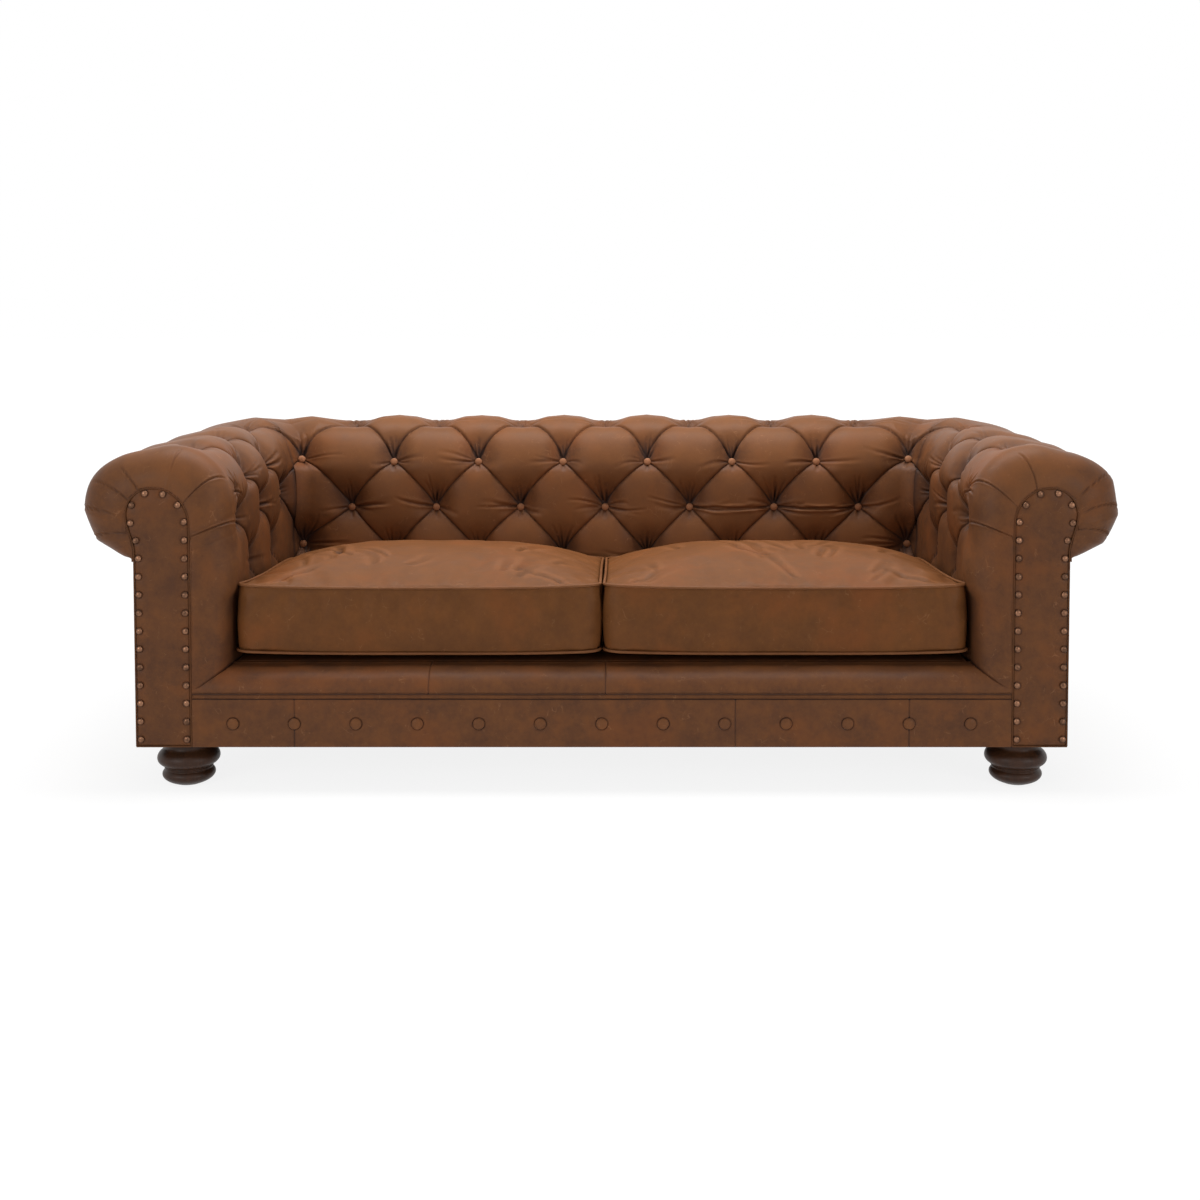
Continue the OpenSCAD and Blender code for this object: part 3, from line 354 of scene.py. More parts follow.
def turn_at(u):
    """Which way the surface faces at the place u along the section, in degrees up from straight outward."""
    shoulder = 180 - np.degrees(u / SHOULDER_R)
    scroll = CREST_TURN - np.degrees((u - SCROLL_START) / SCROLL_R)
    return np.where(u < 0, 180.0, np.where(u < SHOULDER_LEN, shoulder, np.where(u < SCROLL_START, CREST_TURN, scroll)))


def profile(u, depth):
    """Distance outward and height of the place u along the section, at a depth under its crest."""
    turn = np.radians(turn_at(u))
    on_scroll = u >= SCROLL_START
    along = np.where(on_scroll, 0, np.clip(u - SHOULDER_LEN, 0, FLAT_LEN))
    radius = np.where(on_scroll, SCROLL_R, SHOULDER_R) - depth
    d = np.where(on_scroll, SCROLL_D, SHOULDER_R) + radius * np.cos(turn) + along * np.sin(turn)
    z = ROLL_Z + radius * np.sin(turn) - along * np.cos(turn)
    return np.where(u < 0, depth, d), np.where(u < 0, ROLL_Z + u, z)


def plan(s, d):
    """Place in plan at length s, from the middle of the back round to the arm front, and distance d outward."""
    a = np.abs(s)
    r = CORNER_R + CORNER_GROW * d
    slip = d + CORNER_R - r
    t = np.radians(90 * (a - CORNER_START) / CORNER_LEN)
    on_arm = SEAT_D - CORNER_R + ARM_START - a + slip * (1 - smooth((a - ARM_START) / FAN_LEN))
    x = np.where(a < ARM_START, HALF_W + d - r + r * np.sin(t), HALF_W + d)
    y = np.where(a < ARM_START, SEAT_D + d - r + r * np.cos(t), on_arm)
    straight = a < CORNER_START
    x = np.where(straight, a + slip * smooth((a - CORNER_START + FAN_LEN) / FAN_LEN), x)
    y = np.where(straight, SEAT_D + d, y)
    return np.where(s < 0, -1, 1) * x, y


def skin(s, u, depth):
    """Points of the padding's rolled surface at a depth under its crest."""
    d, z = profile(u, depth)
    x, y = plan(s, d)
    return np.stack([x, y, z + 0 * x], -1)


def rows_at(s):
    """Places of the four button rows along the section, which change from the back's to the arm's at the corner."""
    share = smooth(np.abs(s) / PITCH - LAST_BACK)[..., None]
    return BACK_ROWS + (ARM_ROWS - BACK_ROWS) * share


def row_u(s, v):
    """Place along the section of row v, which may lie between two rows."""
    levels = np.concatenate([rows_at(s), np.full(np.shape(s) + (1,), PAD_FLOOR - ROLL_Z)], -1)
    i = np.clip(np.floor(v), 0, 3).astype(int)
    low, high = (np.take_along_axis(levels, i[..., None] + step, -1)[..., 0] for step in (0, 1))
    return mix(low, high, v - i)


def button_at(k, v):
    """Place of a button on the leather, at column k of row v."""
    return np.array([k * PITCH, float(row_u(np.array(k * PITCH), np.array(float(v))))])


def reach(angle):
    """A step of 1 in the direction of an angle."""
    return np.array([math.cos(angle), math.sin(angle)])


# Columns of the buttons in each row. Each second row lies half a column off
BACK_COLUMNS = [np.arange(-3 - row % 2 / 2, 3.6) for row in range(4)]
ARM_COLUMNS = [np.arange(4 + row % 2 / 2, 6.1) for row in range(4)]
# Squares of the mesh from one column to the next, from row to row, and over the roll
COL_STEPS = 108
ROW_STEPS = (24, 54, 54, 54)
ROLL_STEPS = 116
STATIONS = sum(ROW_STEPS) + ROLL_STEPS
# Stations that the padding's inner side keeps, and the squares from one column that it keeps to the next
INNER_ROWS = [0, *range(sum(ROW_STEPS[:2]), STATIONS, 14), STATIONS]
INNER_STEP = 36
PROBED = 10


def station_grid(s):
    """u, v and w for every column of s and every station: v counts the rows down, and w runs over the roll."""
    v = np.concatenate([4 - i - np.arange(n) / n for i, n in enumerate(ROW_STEPS)] + [np.zeros(ROLL_STEPS + 1)])
    w = np.concatenate([np.zeros(sum(ROW_STEPS)), np.linspace(0, 1, ROLL_STEPS + 1)])
    ss, vv = np.meshgrid(s, v, indexing="ij")
    ww = np.broadcast_to(w, ss.shape)
    u = row_u(ss, vv)
    u = np.where(ww > 0, mix(rows_at(ss)[..., 0], ROLL_LEN, ww), u)
    return ss, u, vv, ww


def crease_side(p):
    """Which side of its nearest crease a place is on, from -1 to 1."""
    return np.sign(p / math.pi - np.round(p / math.pi))


def pillow(k, v):
    """Depth of the buttoning under its crest as a share, with the pleats between the buttons bowed, their
    upper side fuller than the lower, and a narrow fold at the bottom of each."""
    i = np.clip(np.floor(v), 0, 3)
    t = v - i
    top = np.where(i == 0, 0.35, 0)
    bow_left = 0.55 + top + 0.14 * np.sin(2.1 * k + 1.7 * i + 0.5)
    bow_right = 0.28 + 1.4 * top + 0.14 * np.sin(1.7 * k - 2.3 * i + 2.0)
    p = math.pi * (k + (v + bow_left * t * (1 - t)) / 2)
    q = math.pi * (k - (v + bow_right * t * (1 - t)) / 2)
    sp, sq = np.abs(np.sin(p)), np.abs(np.sin(q))
    full_p = np.where(crease_side(p) < 0, 0.34, 0.52)
    full_q = np.where(crease_side(q) > 0, 0.34, 0.52)
    sunk = t + 0.6 * t * (1 - t)
    pit = np.power(np.cos(math.pi * (k + (i + sunk) / 2)) * np.cos(math.pi * (k - (i + sunk) / 2)), 2) ** 1.7
    swell = 1 - sp**full_p * sq**full_q
    fold = np.exp(-((np.minimum(sp, sq) * 46) ** 2))
    share = 0.5 * pit + 0.38 * swell + 0.12 * fold
    return share * np.where(v > 3, 4 - v, 1), p, q, fold


def over_roll(w):
    """How much of the buttoning's depth is left over the roll."""
    return 0.6 * np.exp(-10 * w) + 0.4 * (1 - w)


def dip_over_roll(k):
    """Share of the soft dips that run over the roll in line with the top row's buttons."""
    near = np.abs(k - np.round(k))
    return 0.4 * smooth((0.33 - near) / 0.25) + 0.2 * (1 - 4 * near**2)


def tuft_share(k, v, w):
    """Share for every place of the padding, forward of the last buttons too, where pleats run straight on."""
    past = np.maximum(k - LAST_COL, 0)
    fade = 1 - smooth(past * PITCH / (ROUND_S - LAST_COL * PITCH))
    share, p, q, fold = pillow(np.minimum(k, LAST_COL), v)
    share = np.where(w > 0, mix(share, dip_over_roll(k), smooth(w / 0.06)) * over_roll(w), share)
    fold = fold * np.where(w > 0, 1 - smooth(w / 0.05), 1) * np.where(past > 0, fade, 1)
    corner = 0.5 * np.maximum(0, 1 - np.abs(np.abs(k) - LAST_BACK - 0.5) * 4) * over_roll(w)
    share = np.maximum(share, np.where(v > 1, 0, corner))
    return share * np.where(past > 0, fade, 1), p, q, fold


def outward(points, axis):
    """Unit normals of a grid of points, turned out of the padding: toward the seat, which lies down the given
    axis, at the probed station under the roll."""
    n = np.cross(np.gradient(points, axis=0), np.gradient(points, axis=1))
    n /= np.maximum(np.linalg.norm(n, axis=-1, keepdims=True), 1e-9)
    return -n if n[(len(n) - 1) // 2, PROBED, axis] > 0 else n


def crease(depth, a, b, start, end, deep, wide, bend=0.0):
    """Adds one crease to a field of depths: a groove from start to end on the leather, deepest near its
    start, with a slight ridge on each side. a and b are the places of the field."""
    run = np.array(end, dtype=float) - start
    length = float(np.hypot(*run))
    run /= length
    box = wide * 4 + abs(bend)
    near = (
        (a > min(start[0], end[0]) - box)
        & (a < max(start[0], end[0]) + box)
        & (b > min(start[1], end[1]) - box)
        & (b < max(start[1], end[1]) + box)
    )
    da, db = a[near] - start[0], b[near] - start[1]
    t = (da * run[0] + db * run[1]) / length
    off = db * run[0] - da * run[1] - bend * 4 * t * (1 - t)
    grow = wide * (0.6 + 0.6 * np.clip(t, 0, 1))
    fade = smooth((t + 0.04) / 0.12) * np.clip(1 - t, 0, 1) ** 0.7 * (t < 1)
    groove = np.exp(-((off / grow) ** 2)) - 0.35 * np.exp(-(((np.abs(off) - 2 * grow) / grow) ** 2))
    depth[near] += deep * fade * groove


def gathers(depth, dark, s, u, k, v, rng, fan, side_lines):
    """Short creases that run out from one button: a fan above it, with painted shade in the hollow there,
    and longer ones to its sides."""
    place = button_at(k, v)
    rise = u - place[1]
    wide = 10 + 0.3 * np.clip(rise, 0, 90)
    # Painted shade over the hollow just above the button, fainter for the top row
    painted_shade_above = np.exp(-(((s - place[0]) / wide) ** 2)) * smooth(rise / 8) * (1 - smooth((rise - 12) / 62))
    dark += painted_shade_above * (0.5 if v else 0.25)
    firm = 1.0 if v else 0.6
    for step in range(fan):
        angle = math.radians(64 + 52 * (step + rng.uniform(0.2, 0.8)) / fan)
        length, way = rng.uniform(46, 92), reach(angle)
        deep, wide = rng.uniform(4.0, 6.5) * firm, rng.uniform(2.2, 3.4)
        crease(depth, s, u, place + 12 * way, place + length * way, deep, wide, rng.uniform(-3, 3))
    for _ in range(side_lines):
        angle = math.radians(rng.choice([0, 180]) + rng.uniform(-16, 14))
        length, way = rng.uniform(45, 118), reach(angle)
        deep, wide = rng.uniform(1.6, 3.2), rng.uniform(2.8, 5.4)
        crease(depth, s, u, place + 9 * way, place + length * way, deep, wide, rng.uniform(-7, 7))
    crease(depth, s, u, place - [0, 7], place - [rng.uniform(-3, 3), 30], 4.0, 5.0)
    for _ in range(3):
        way = reach(math.radians(rng.uniform(200, 340)))
        crease(depth, s, u, place + 8 * way, place + rng.uniform(16, 30) * way, rng.uniform(1.0, 2.0), 2.4)


def button_to_button(depth, s, u, k, v, rng):
    """Creases drawn level from one button to the next in its row."""
    for side in (1, -1):
        a, b = (button_at(at, v) for at in (k, k + 1)[::side])
        for step in (-8, 2, 11):
            start, end = a + [10 * side, step * 0.3], mix(a, b, rng.uniform(0.72, 0.95)) + [0, step]
            deep, wide = rng.uniform(2.6, 4.0), rng.uniform(2.6, 3.6)
            crease(depth, s, u, start, end, deep, wide, rng.uniform(-4, 4) - step * side)


def ripple(points, size, seed):
    """Slow unevenness of the stuffing, as a value for each point."""
    flat = points.reshape(-1, 3) / size + seed * 7.3
    return np.array([noise.noise(p) for p in flat.tolist()]).reshape(points.shape[:-1])


def make_padding(name, node, outer, inner, cols, crest, slant):
    """A piece of padding from its outer side and those columns of its inner side that it keeps."""
    n, m = outer.shape[0] - 1, outer.shape[1] - 1
    points = np.concatenate([outer.reshape(-1, 3), inner[np.ix_(cols, INNER_ROWS)].reshape(-1, 3)])
    faces = shell_faces(n, m, cols, INNER_ROWS, slant)
    mesh = make_piece(name, node, points, faces, pull_up_leather, crest).data
    mesh.polygons.foreach_set("use_smooth", np.arange(len(mesh.polygons)) < 2 * n * m)


def crest_paleness_and_shade(share, detail, fold):
    """How pale the leather is drawn: paler on the crests, partly wax paling and partly a painted highlight, and darker
    in the pits and folds as painted shade.
    """
    return 1 - np.clip(share * 1.1 + np.clip(detail, -1, 4) * 0.13, 0, 1.2) - 0.9 * fold


def diamond_slant(p, q):
    """Which way the diagonal of each square runs, so that it follows the nearer pleat."""
    near = np.abs(np.sin(p)) < np.abs(np.sin(q))
    return near[:-1, :-1]


def corner_painted_shade(past, v):
    """Painted shade in the fold between back and arm, and over the padding beside it, below the roll."""
    return 0.5 * np.exp(-((past / 10) ** 2)) + 0.32 * (1 - smooth(past / 170)) * smooth((v - 0.7) / 0.9)


def full_roll(share, u):
    """How much fuller the stuffing lies over the roll than the plain section has it."""
    return 6 * (1 - share) * smooth((u - 60) / 120) * smooth((520 - u) / 200)


def make_back():
    """The back's padding, from its seam with one arm's to its seam with the other's."""
    cols = int(round(2 * SEAM_S / PITCH * COL_STEPS))
    ss, u, v, w = station_grid(np.linspace(-SEAM_S, SEAM_S, cols + 1))
    share, p, q, fold = tuft_share(np.abs(ss) / PITCH * np.sign(ss), v, w)
    detail, dark = np.zeros_like(share), np.zeros_like(share)
    rng = np.random.default_rng(7)
    for row, columns in enumerate(BACK_COLUMNS):
        for k in columns:
            gathers(detail, dark, ss, u, k, row, rng, 5 if row < 3 else 3, 6 if row == 2 else 3)
    for k in (1, 2):
        button_to_button(detail, ss, u, k, 2, rng)
    even = skin(ss, u, np.zeros_like(u))
    normals = outward(even, 1)
    detail = (detail + 1.6 * ripple(even, WAVE, 1)) * smooth((SEAM_S - np.abs(ss)) / 50) - full_roll(share, u)
    detail += under_roll(u, 6.5 + 1.5 * ss / SEAM_S)
    outer = skin(ss, u, TUFT_DEPTH * share) - normals * detail[..., None]
    inner = skin(ss, u, np.full_like(u, PAD_T))
    near_seam = 3 * INNER_STEP
    keep = [*range(0, near_seam + 1, INNER_STEP), cols // 2, *range(cols - near_seam, cols + 1, INNER_STEP)]
    # Crest value: pale on the crests, with painted shade in the pits and folds, above the buttons and in the corners
    # by the arms
    crest = crest_paleness_and_shade(share, detail, fold) - dark - corner_painted_shade(SEAM_S - np.abs(ss), v) + 0.07
    make_padding("back_padding_leather", "back_padding", outer, inner, keep, crest, diamond_slant(p, q))


def under_roll(u, most):
    """How far the leather of the roll's underside is drawn up, down to the hem that hangs to the tuck."""
    return most * smooth((u - SCROLL_START - 200) / 110) * (1 - smooth((u - ROLL_LEN + 15) / 11))


def neck_d(z):
    """Distance outward of the arm front's outer edge, from the head's widest place down over its neck."""
    return ARM_T + (HEAD_D + HEAD_R_OUT - ARM_T) * smooth((z - HEAD_OUT_Z + NECK_H) / NECK_H)


def head_line():
    """Outline of the arm front from its inner edge over the head and down its neck to the roll's tuck, as
    lengths, places and outward directions."""
    a = np.radians(np.linspace(180, 90, 46))
    b = np.radians(np.linspace(90, 0, 46))[1:]
    z = np.linspace(HEAD_OUT_Z, TUCK_Z, 60)[1:]
    d = np.concatenate([HEAD_D + HEAD_R_IN * np.cos(a), HEAD_D + HEAD_R_OUT * np.cos(b), neck_d(z)])
    z = np.concatenate([HEAD_IN_Z + HEAD_R_IN * np.sin(a), HEAD_OUT_Z + HEAD_R_OUT * np.sin(b), z])
    dd, dz = np.gradient(d), np.gradient(z)
    size = np.hypot(dd, dz)
    length = np.concatenate([[0], np.cumsum(np.hypot(np.diff(d), np.diff(z)))])
    return length, d, z, -dz / size, dd / size


LINE_L, LINE_D, LINE_Z, LINE_OD, LINE_OZ = head_line()
OUTLINE_LEN = LINE_L[-1]


def outline(l, grow):
    """Outline of the arm front at length l from where its head starts, grown outward."""
    d, z, way_d, way_z = (np.interp(l, LINE_L, line) for line in (LINE_D, LINE_Z, LINE_OD, LINE_OZ))
    return np.where(l < 0, PANEL_IN - grow, d + grow * way_d), np.where(l < 0, HEAD_IN_Z + l, z + grow * way_z)


def outline_at(u, grow):
    """The same outline at the place u along the padding's section."""
    below = u * (HEAD_IN_Z - PAD_FLOOR) / (ROLL_Z - PAD_FLOOR)
    return outline(np.where(u < 0, below, u * OUTLINE_LEN / ROLL_LEN), grow)


def lip_at(y):
    """Height of the lip's top at y, which rounds down to its front."""
    round_part = np.sqrt(1 - np.clip((LIP_ROUND - y) / LIP_ROUND, 0, 1) ** 2)
    return np.where(y > LIP_ROUND, LIP_TOP, LIP_START + (LIP_TOP - LIP_START) * round_part)


# Pleats of each arm front: place along the section at the panel, at their far end, and how far back they go
FRONT_PLEATS = {
    -1: [(439, 469, 80), (511, 539, 78), (357, 396, 42), (295, 317, 24), (96, 60, 62), (190, 182, 50), (-29, -45, 96)],
    1: [(422, 477, 82), (494, 549, 74), (357, 386, 70), (190, 167, 40), (77, 30, 120), (-29, -45, 96)],
}
# Places along the section where the leather of the roll's end is drawn straight from pleat to pleat
TAUT_FROM = {-1: (469, 539, 614), 1: (400, 477, 549, 618)}
# Where each arm's leather is pinched, as distance from its front and place along the section, and the angles of
# the creases round that place
PINCH, PINCH_ANGLES = np.array([118.0, 28.0]), (60, 85, 105, 135, 180, 215, 255, 285, 330)
# Squares from the last button to where the arm rounds to its front, and over that rounding
BAND_COLS, FRONT_COLS = 44, 42


def roll_scaled(u):
    """A place given along the first fitted section, whose scroll began at 290.7 and turned from 79.4 degrees with
    a radius of 121."""
    turn = CREST_TURN - 79.4 + math.degrees((u - 290.7) / 121)
    return u if u < 230 else SCROLL_START + SCROLL_R * math.radians(turn)


def make_arm(side):
    """An arm's padding, from its seam with the back's to the front, where it turns in to the panel."""
    last = LAST_COL * PITCH
    body_cols = int(round((last - SEAM_S) / PITCH * COL_STEPS))
    body, band = np.linspace(SEAM_S, last, body_cols + 1), np.linspace(last, ROUND_S, BAND_COLS + 1)[1:]
    s = np.concatenate([body, band, np.full(FRONT_COLS, ROUND_S)])
    n = len(s) - 1
    ss, u, v, w = station_grid(s)
    share, p, q, fold = tuft_share(ss / PITCH, v, w)
    turn = np.concatenate([np.zeros(n + 1 - FRONT_COLS), np.arange(1, FRONT_COLS + 1) * 90 / FRONT_COLS])
    turn = np.radians(turn)[:, None] + 0 * u
    front_y = ROUND_Y - (ROUND_Y - 1) * np.sin(turn)
    give = 1 - np.cos(turn)
    depth_y = np.where(turn > 0, front_y, ROUND_Y + ROUND_S - ss)

    def arm_skin(depth, gap, under=0):
        """The arm's surface, which turns from the roll's own section to the panel's outline at the front."""
        (d, z), (od, oz) = profile(u, under + 0 * u), outline_at(u, gap)
        dip = np.where(u < 0, (LIP_TOP - lip_at(front_y - 1)) * (np.minimum(u, 0) / (PAD_FLOOR - ROLL_Z)) ** 2, 0)
        front = np.stack([HALF_W + mix(d, od, give), front_y, mix(z, oz, give) - dip], -1)
        return np.where(turn[..., None] > 0, front, skin(ss, u, depth))

    detail, dark = np.zeros_like(share), np.zeros_like(share)
    rng = np.random.default_rng(20 + side)
    for row, columns in enumerate(ARM_COLUMNS):
        for k in columns:
            gathers(detail, dark, ss, u, k, row, rng, 6, 5 if row in (1, 2) else 2)
    for start_u, end_u, far in FRONT_PLEATS[side]:
        crease(detail, depth_y, u, (-2.0, roll_scaled(start_u)), (far, roll_scaled(end_u)), 5.0, 2.2, 2.0)
    detail += 13 * np.exp(-((depth_y - PINCH[0]) ** 2 + (u - PINCH[1]) ** 2) / 15.0**2) * (v <= 4)
    for angle in np.radians(PINCH_ANGLES) + rng.uniform(-0.15, 0.15, len(PINCH_ANGLES)):
        way = reach(angle)
        end = PINCH + rng.uniform(34, 62) * way
        crease(detail, depth_y, u, PINCH + 5 * way, end, rng.uniform(3.0, 5.0), 2.8, rng.uniform(-3, 3))
    taut = np.zeros_like(u)
    ends = [roll_scaled(end) for end in TAUT_FROM[side]]
    for a, b in zip(ends[:-1], ends[1:]):
        taut += np.where((u > a) & (u < b), (u - a) * (b - u) / (2 * SCROLL_R) * 0.85, 0)
    taut -= 7 * smooth((u - 330) / 90) * smooth((650 - u) / 60)
    detail += taut * (1 - smooth((depth_y - 60) / 110)) * (1 - give) ** 0.5
    even = arm_skin(np.zeros_like(u), CLEAR + EDGE_T)
    normals = outward(even, 0)
    detail += 1.6 * ripple(even, WAVE, 3 + side) * (1 - give * 0.8)
    past_seam = ss - SEAM_S
    detail = detail * smooth(past_seam / 50) - full_roll(share, u) * (1 - smooth(past_seam / 170))
    detail += under_roll(u, 6.5 + 1.5 * side) * (1 - give) ** 0.5
    # The arm swells over the cushion and gives way beside it
    beside = np.exp(-(((depth_y - 72) / 45) ** 2))
    detail += beside * (7 * smooth((-178 - u) / 30) - 12 * np.exp(-(((u + 140) / 52) ** 2)) * (v <= 4))
    outer = arm_skin(TUFT_DEPTH * share, CLEAR + EDGE_T) - normals * detail[..., None]
    inner = arm_skin(np.full_like(u, PAD_T), CLEAR, PAD_T)
    outer[..., 0] *= side
    inner[..., 0] *= side
    keep = [0, INNER_STEP, 2 * INNER_STEP, *range(n - FRONT_COLS, n + 1, 6)]
    # Crest value: pale on the crests, with painted shade above the buttons, in a dark strip along the bottom where the
    # padding meets the seat, down the inner face and round the scroll away from the roll's top, and in the corner by
    # the back
    crest = crest_paleness_and_shade(share, detail, fold) - dark - 0.7 * smooth((v - 3.955) / 0.045)
    crest -= 0.42 * (1 - np.exp(-(((u - 200) / 130) ** 2))) + corner_painted_shade(past_seam, v)
    node = f"{SIDES[side]}_arm_padding"
    make_padding(node + "_leather", node, outer, inner, keep, crest, diamond_slant(p, q))


make_back()
for side in SIDES:
    make_arm(side)

# Buttons and nails, set out by geometry nodes


def stud_tree(name):
    """A node tree that sets one flattened dome on every point, square to the point's own direction."""
    tree = bpy.data.node_groups.new(name, "GeometryNodeTree")
    kinds = {"Places": "Geometry", "Radius": "Float", "Height": "Float", "Tilt": "Float", "Finish": "Material"}
    for socket, kind in kinds.items():
        tree.interface.new_socket(socket, in_out="INPUT", socket_type="NodeSocket" + kind)
    tree.interface.new_socket("Studs", in_out="OUTPUT", socket_type="NodeSocketGeometry")
    given = add(tree, "NodeGroupInput").outputs
    ball = add(tree, "GeometryNodeMeshUVSphere", {"Segments": 20, "Rings": 12, "Radius": given["Radius"]})
    flat = maths(tree, "DIVIDE", given["Height"], given["Radius"])
    scale = add(tree, "ShaderNodeCombineXYZ", {"X": 1.0, "Y": 1.0, "Z": flat})
    dome = add(tree, "GeometryNodeTransform", {"Geometry": ball.outputs["Mesh"], "Scale": scale.outputs[0]})
    way = add(tree, "GeometryNodeInputNamedAttribute", {"Name": "out"}, data_type="FLOAT_VECTOR")
    ends = {"Seed": 5, "Min": maths(tree, "MULTIPLY", given["Tilt"], -1.0), "Max": given["Tilt"]}
    tilt = add(tree, "FunctionNodeRandomValue", ends, data_type="FLOAT_VECTOR")
    lean = maths(tree, "ADD", way.outputs["Attribute"], tilt.outputs["Value"], kind="ShaderNodeVectorMath")
    turn = add(tree, "FunctionNodeAlignRotationToVector", {"Vector": lean}, axis="Z")
    each = {"Points": given["Places"], "Instance": dome.outputs[0], "Rotation": turn.outputs[0]}
    studs = add(tree, "GeometryNodeInstanceOnPoints", each)
    for step in ("GeometryNodeRealizeInstances", "GeometryNodeSetShadeSmooth"):
        studs = add(tree, step, {"Geometry": studs.outputs[0]})
    finish = add(tree, "GeometryNodeSetMaterial", {"Geometry": studs.outputs[0], "Material": given["Finish"]})
    add(tree, "NodeGroupOutput", {"Studs": finish.outputs[0]})
    return tree


stud_nodes = stud_tree("studs_on_points")


def make_studs(name, node, slot, material, places, outs, radius, height, tilt):
    """Domes on all places, each leaning a little its own way by up to the tilt."""
    mesh = bpy.data.meshes.new(name)
    mesh.from_pydata(metres(places).tolist(), [], [])
    way = mesh.attributes.new("out", "FLOAT_VECTOR", "POINT")
    way.data.foreach_set("vector", np.asarray(outs, dtype=float).ravel())
    source = placed(name + "_places", mesh)
    setter = source.modifiers.new("studs", "NODES")
    setter.node_group = stud_nodes
    values = {"Radius": radius * MM, "Height": height * MM, "Tilt": tilt, "Finish": material}
    for item in stud_nodes.interface.items_tree:
        if item.in_out == "INPUT" and item.name in values:
            setter[item.identifier] = values[item.name]
    solid = bpy.data.meshes.new_from_object(source.evaluated_get(bpy.context.evaluated_depsgraph_get()))
    solid.name = name
    bpy.data.objects.remove(source)
    if "out" in solid.attributes:
        solid.attributes.remove(solid.attributes["out"])
    write_crest_and_shade(solid, np.full(len(solid.vertices), 0.8))
    enter(placed(name, solid), node)


def tuft_places(columns_by_row, side):
    """Places and directions of the covered buttons in their pits."""
    places, outs = [], []
    for row, columns in enumerate(columns_by_row):
        for k in columns:
            s, u = button_at(k, row)
            turn = math.radians(float(turn_at(u)))
            bend = min(max((abs(s) - CORNER_START) / CORNER_LEN, 0), 1) * math.pi / 2
            way = [math.sin(bend) * math.cos(turn) * np.sign(s), math.cos(bend) * math.cos(turn), math.sin(turn)]
            lift = CORNER_BUTTON_LIFT if LAST_BACK < abs(k) < LAST_BACK + 1.5 else BUTTON_LIFT
            place = skin(s, u, TUFT_DEPTH) + (lift - (4 if row == 0 else 1)) * np.array(way)
            places.append(place * [side, 1, 1])
            outs.append(np.array(way) * [side, 1, 1])
    return places, outs


for part, rows, side in (("back", BACK_COLUMNS, 1), ("left_arm", ARM_COLUMNS, -1), ("right_arm", ARM_COLUMNS, 1)):
    names = f"{part}_covered_buttons", f"{part}_buttons", "trim_leather"
    make_studs(*names, button_leather, *tuft_places(rows, side), TUFT_R, TUFT_H * 0.75, 0.12)


def nail_places():
    """Places of the trim nails on the right arm front: up its outer edge, over the head and down its inner edge."""
    low = FOOT_H + NAIL_INSET + 6
    d, z = outline(np.linspace(OUTLINE_LEN, 0, 240), -NAIL_INSET)
    d, z = np.concatenate([[ARM_T - NAIL_INSET], d, [PANEL_IN + NAIL_INSET]]), np.concatenate([[low], z, [low]])
    run = np.concatenate([[0], np.cumsum(np.hypot(np.diff(d), np.diff(z)))])
    at = np.linspace(0, run[-1], NAIL_COUNT)
    return list(zip(np.interp(at, run, d), np.interp(at, run, z)))


FORWARD = (0, -1, 0)
for side, where in SIDES.items():
    names = f"{where}_trim_nails", f"{where}_panel_nails", "nail_heads"
    places = [(side * (HALF_W + d), 0.5, z) for d, z in nail_places()]
    make_studs(*names, antique_brass, places, [FORWARD] * NAIL_COUNT, NAIL_R + 0.3, NAIL_H + 0.6, 0.08)
band_places = [((i - (BAND_BUTTONS - 1) / 2) * BAND_PITCH, 0.6, FOOT_H + BAND_BUTTON_Z) for i in range(BAND_BUTTONS)]
names = "band_covered_buttons", "front_band_buttons", "trim_leather"
make_studs(*names, pull_up_leather, band_places, [FORWARD] * BAND_BUTTONS, BAND_BUTTON_R, BAND_BUTTON_H, 0.05)

# Arm fronts

CORD_STEPS = 12  # sides of a cord's round section


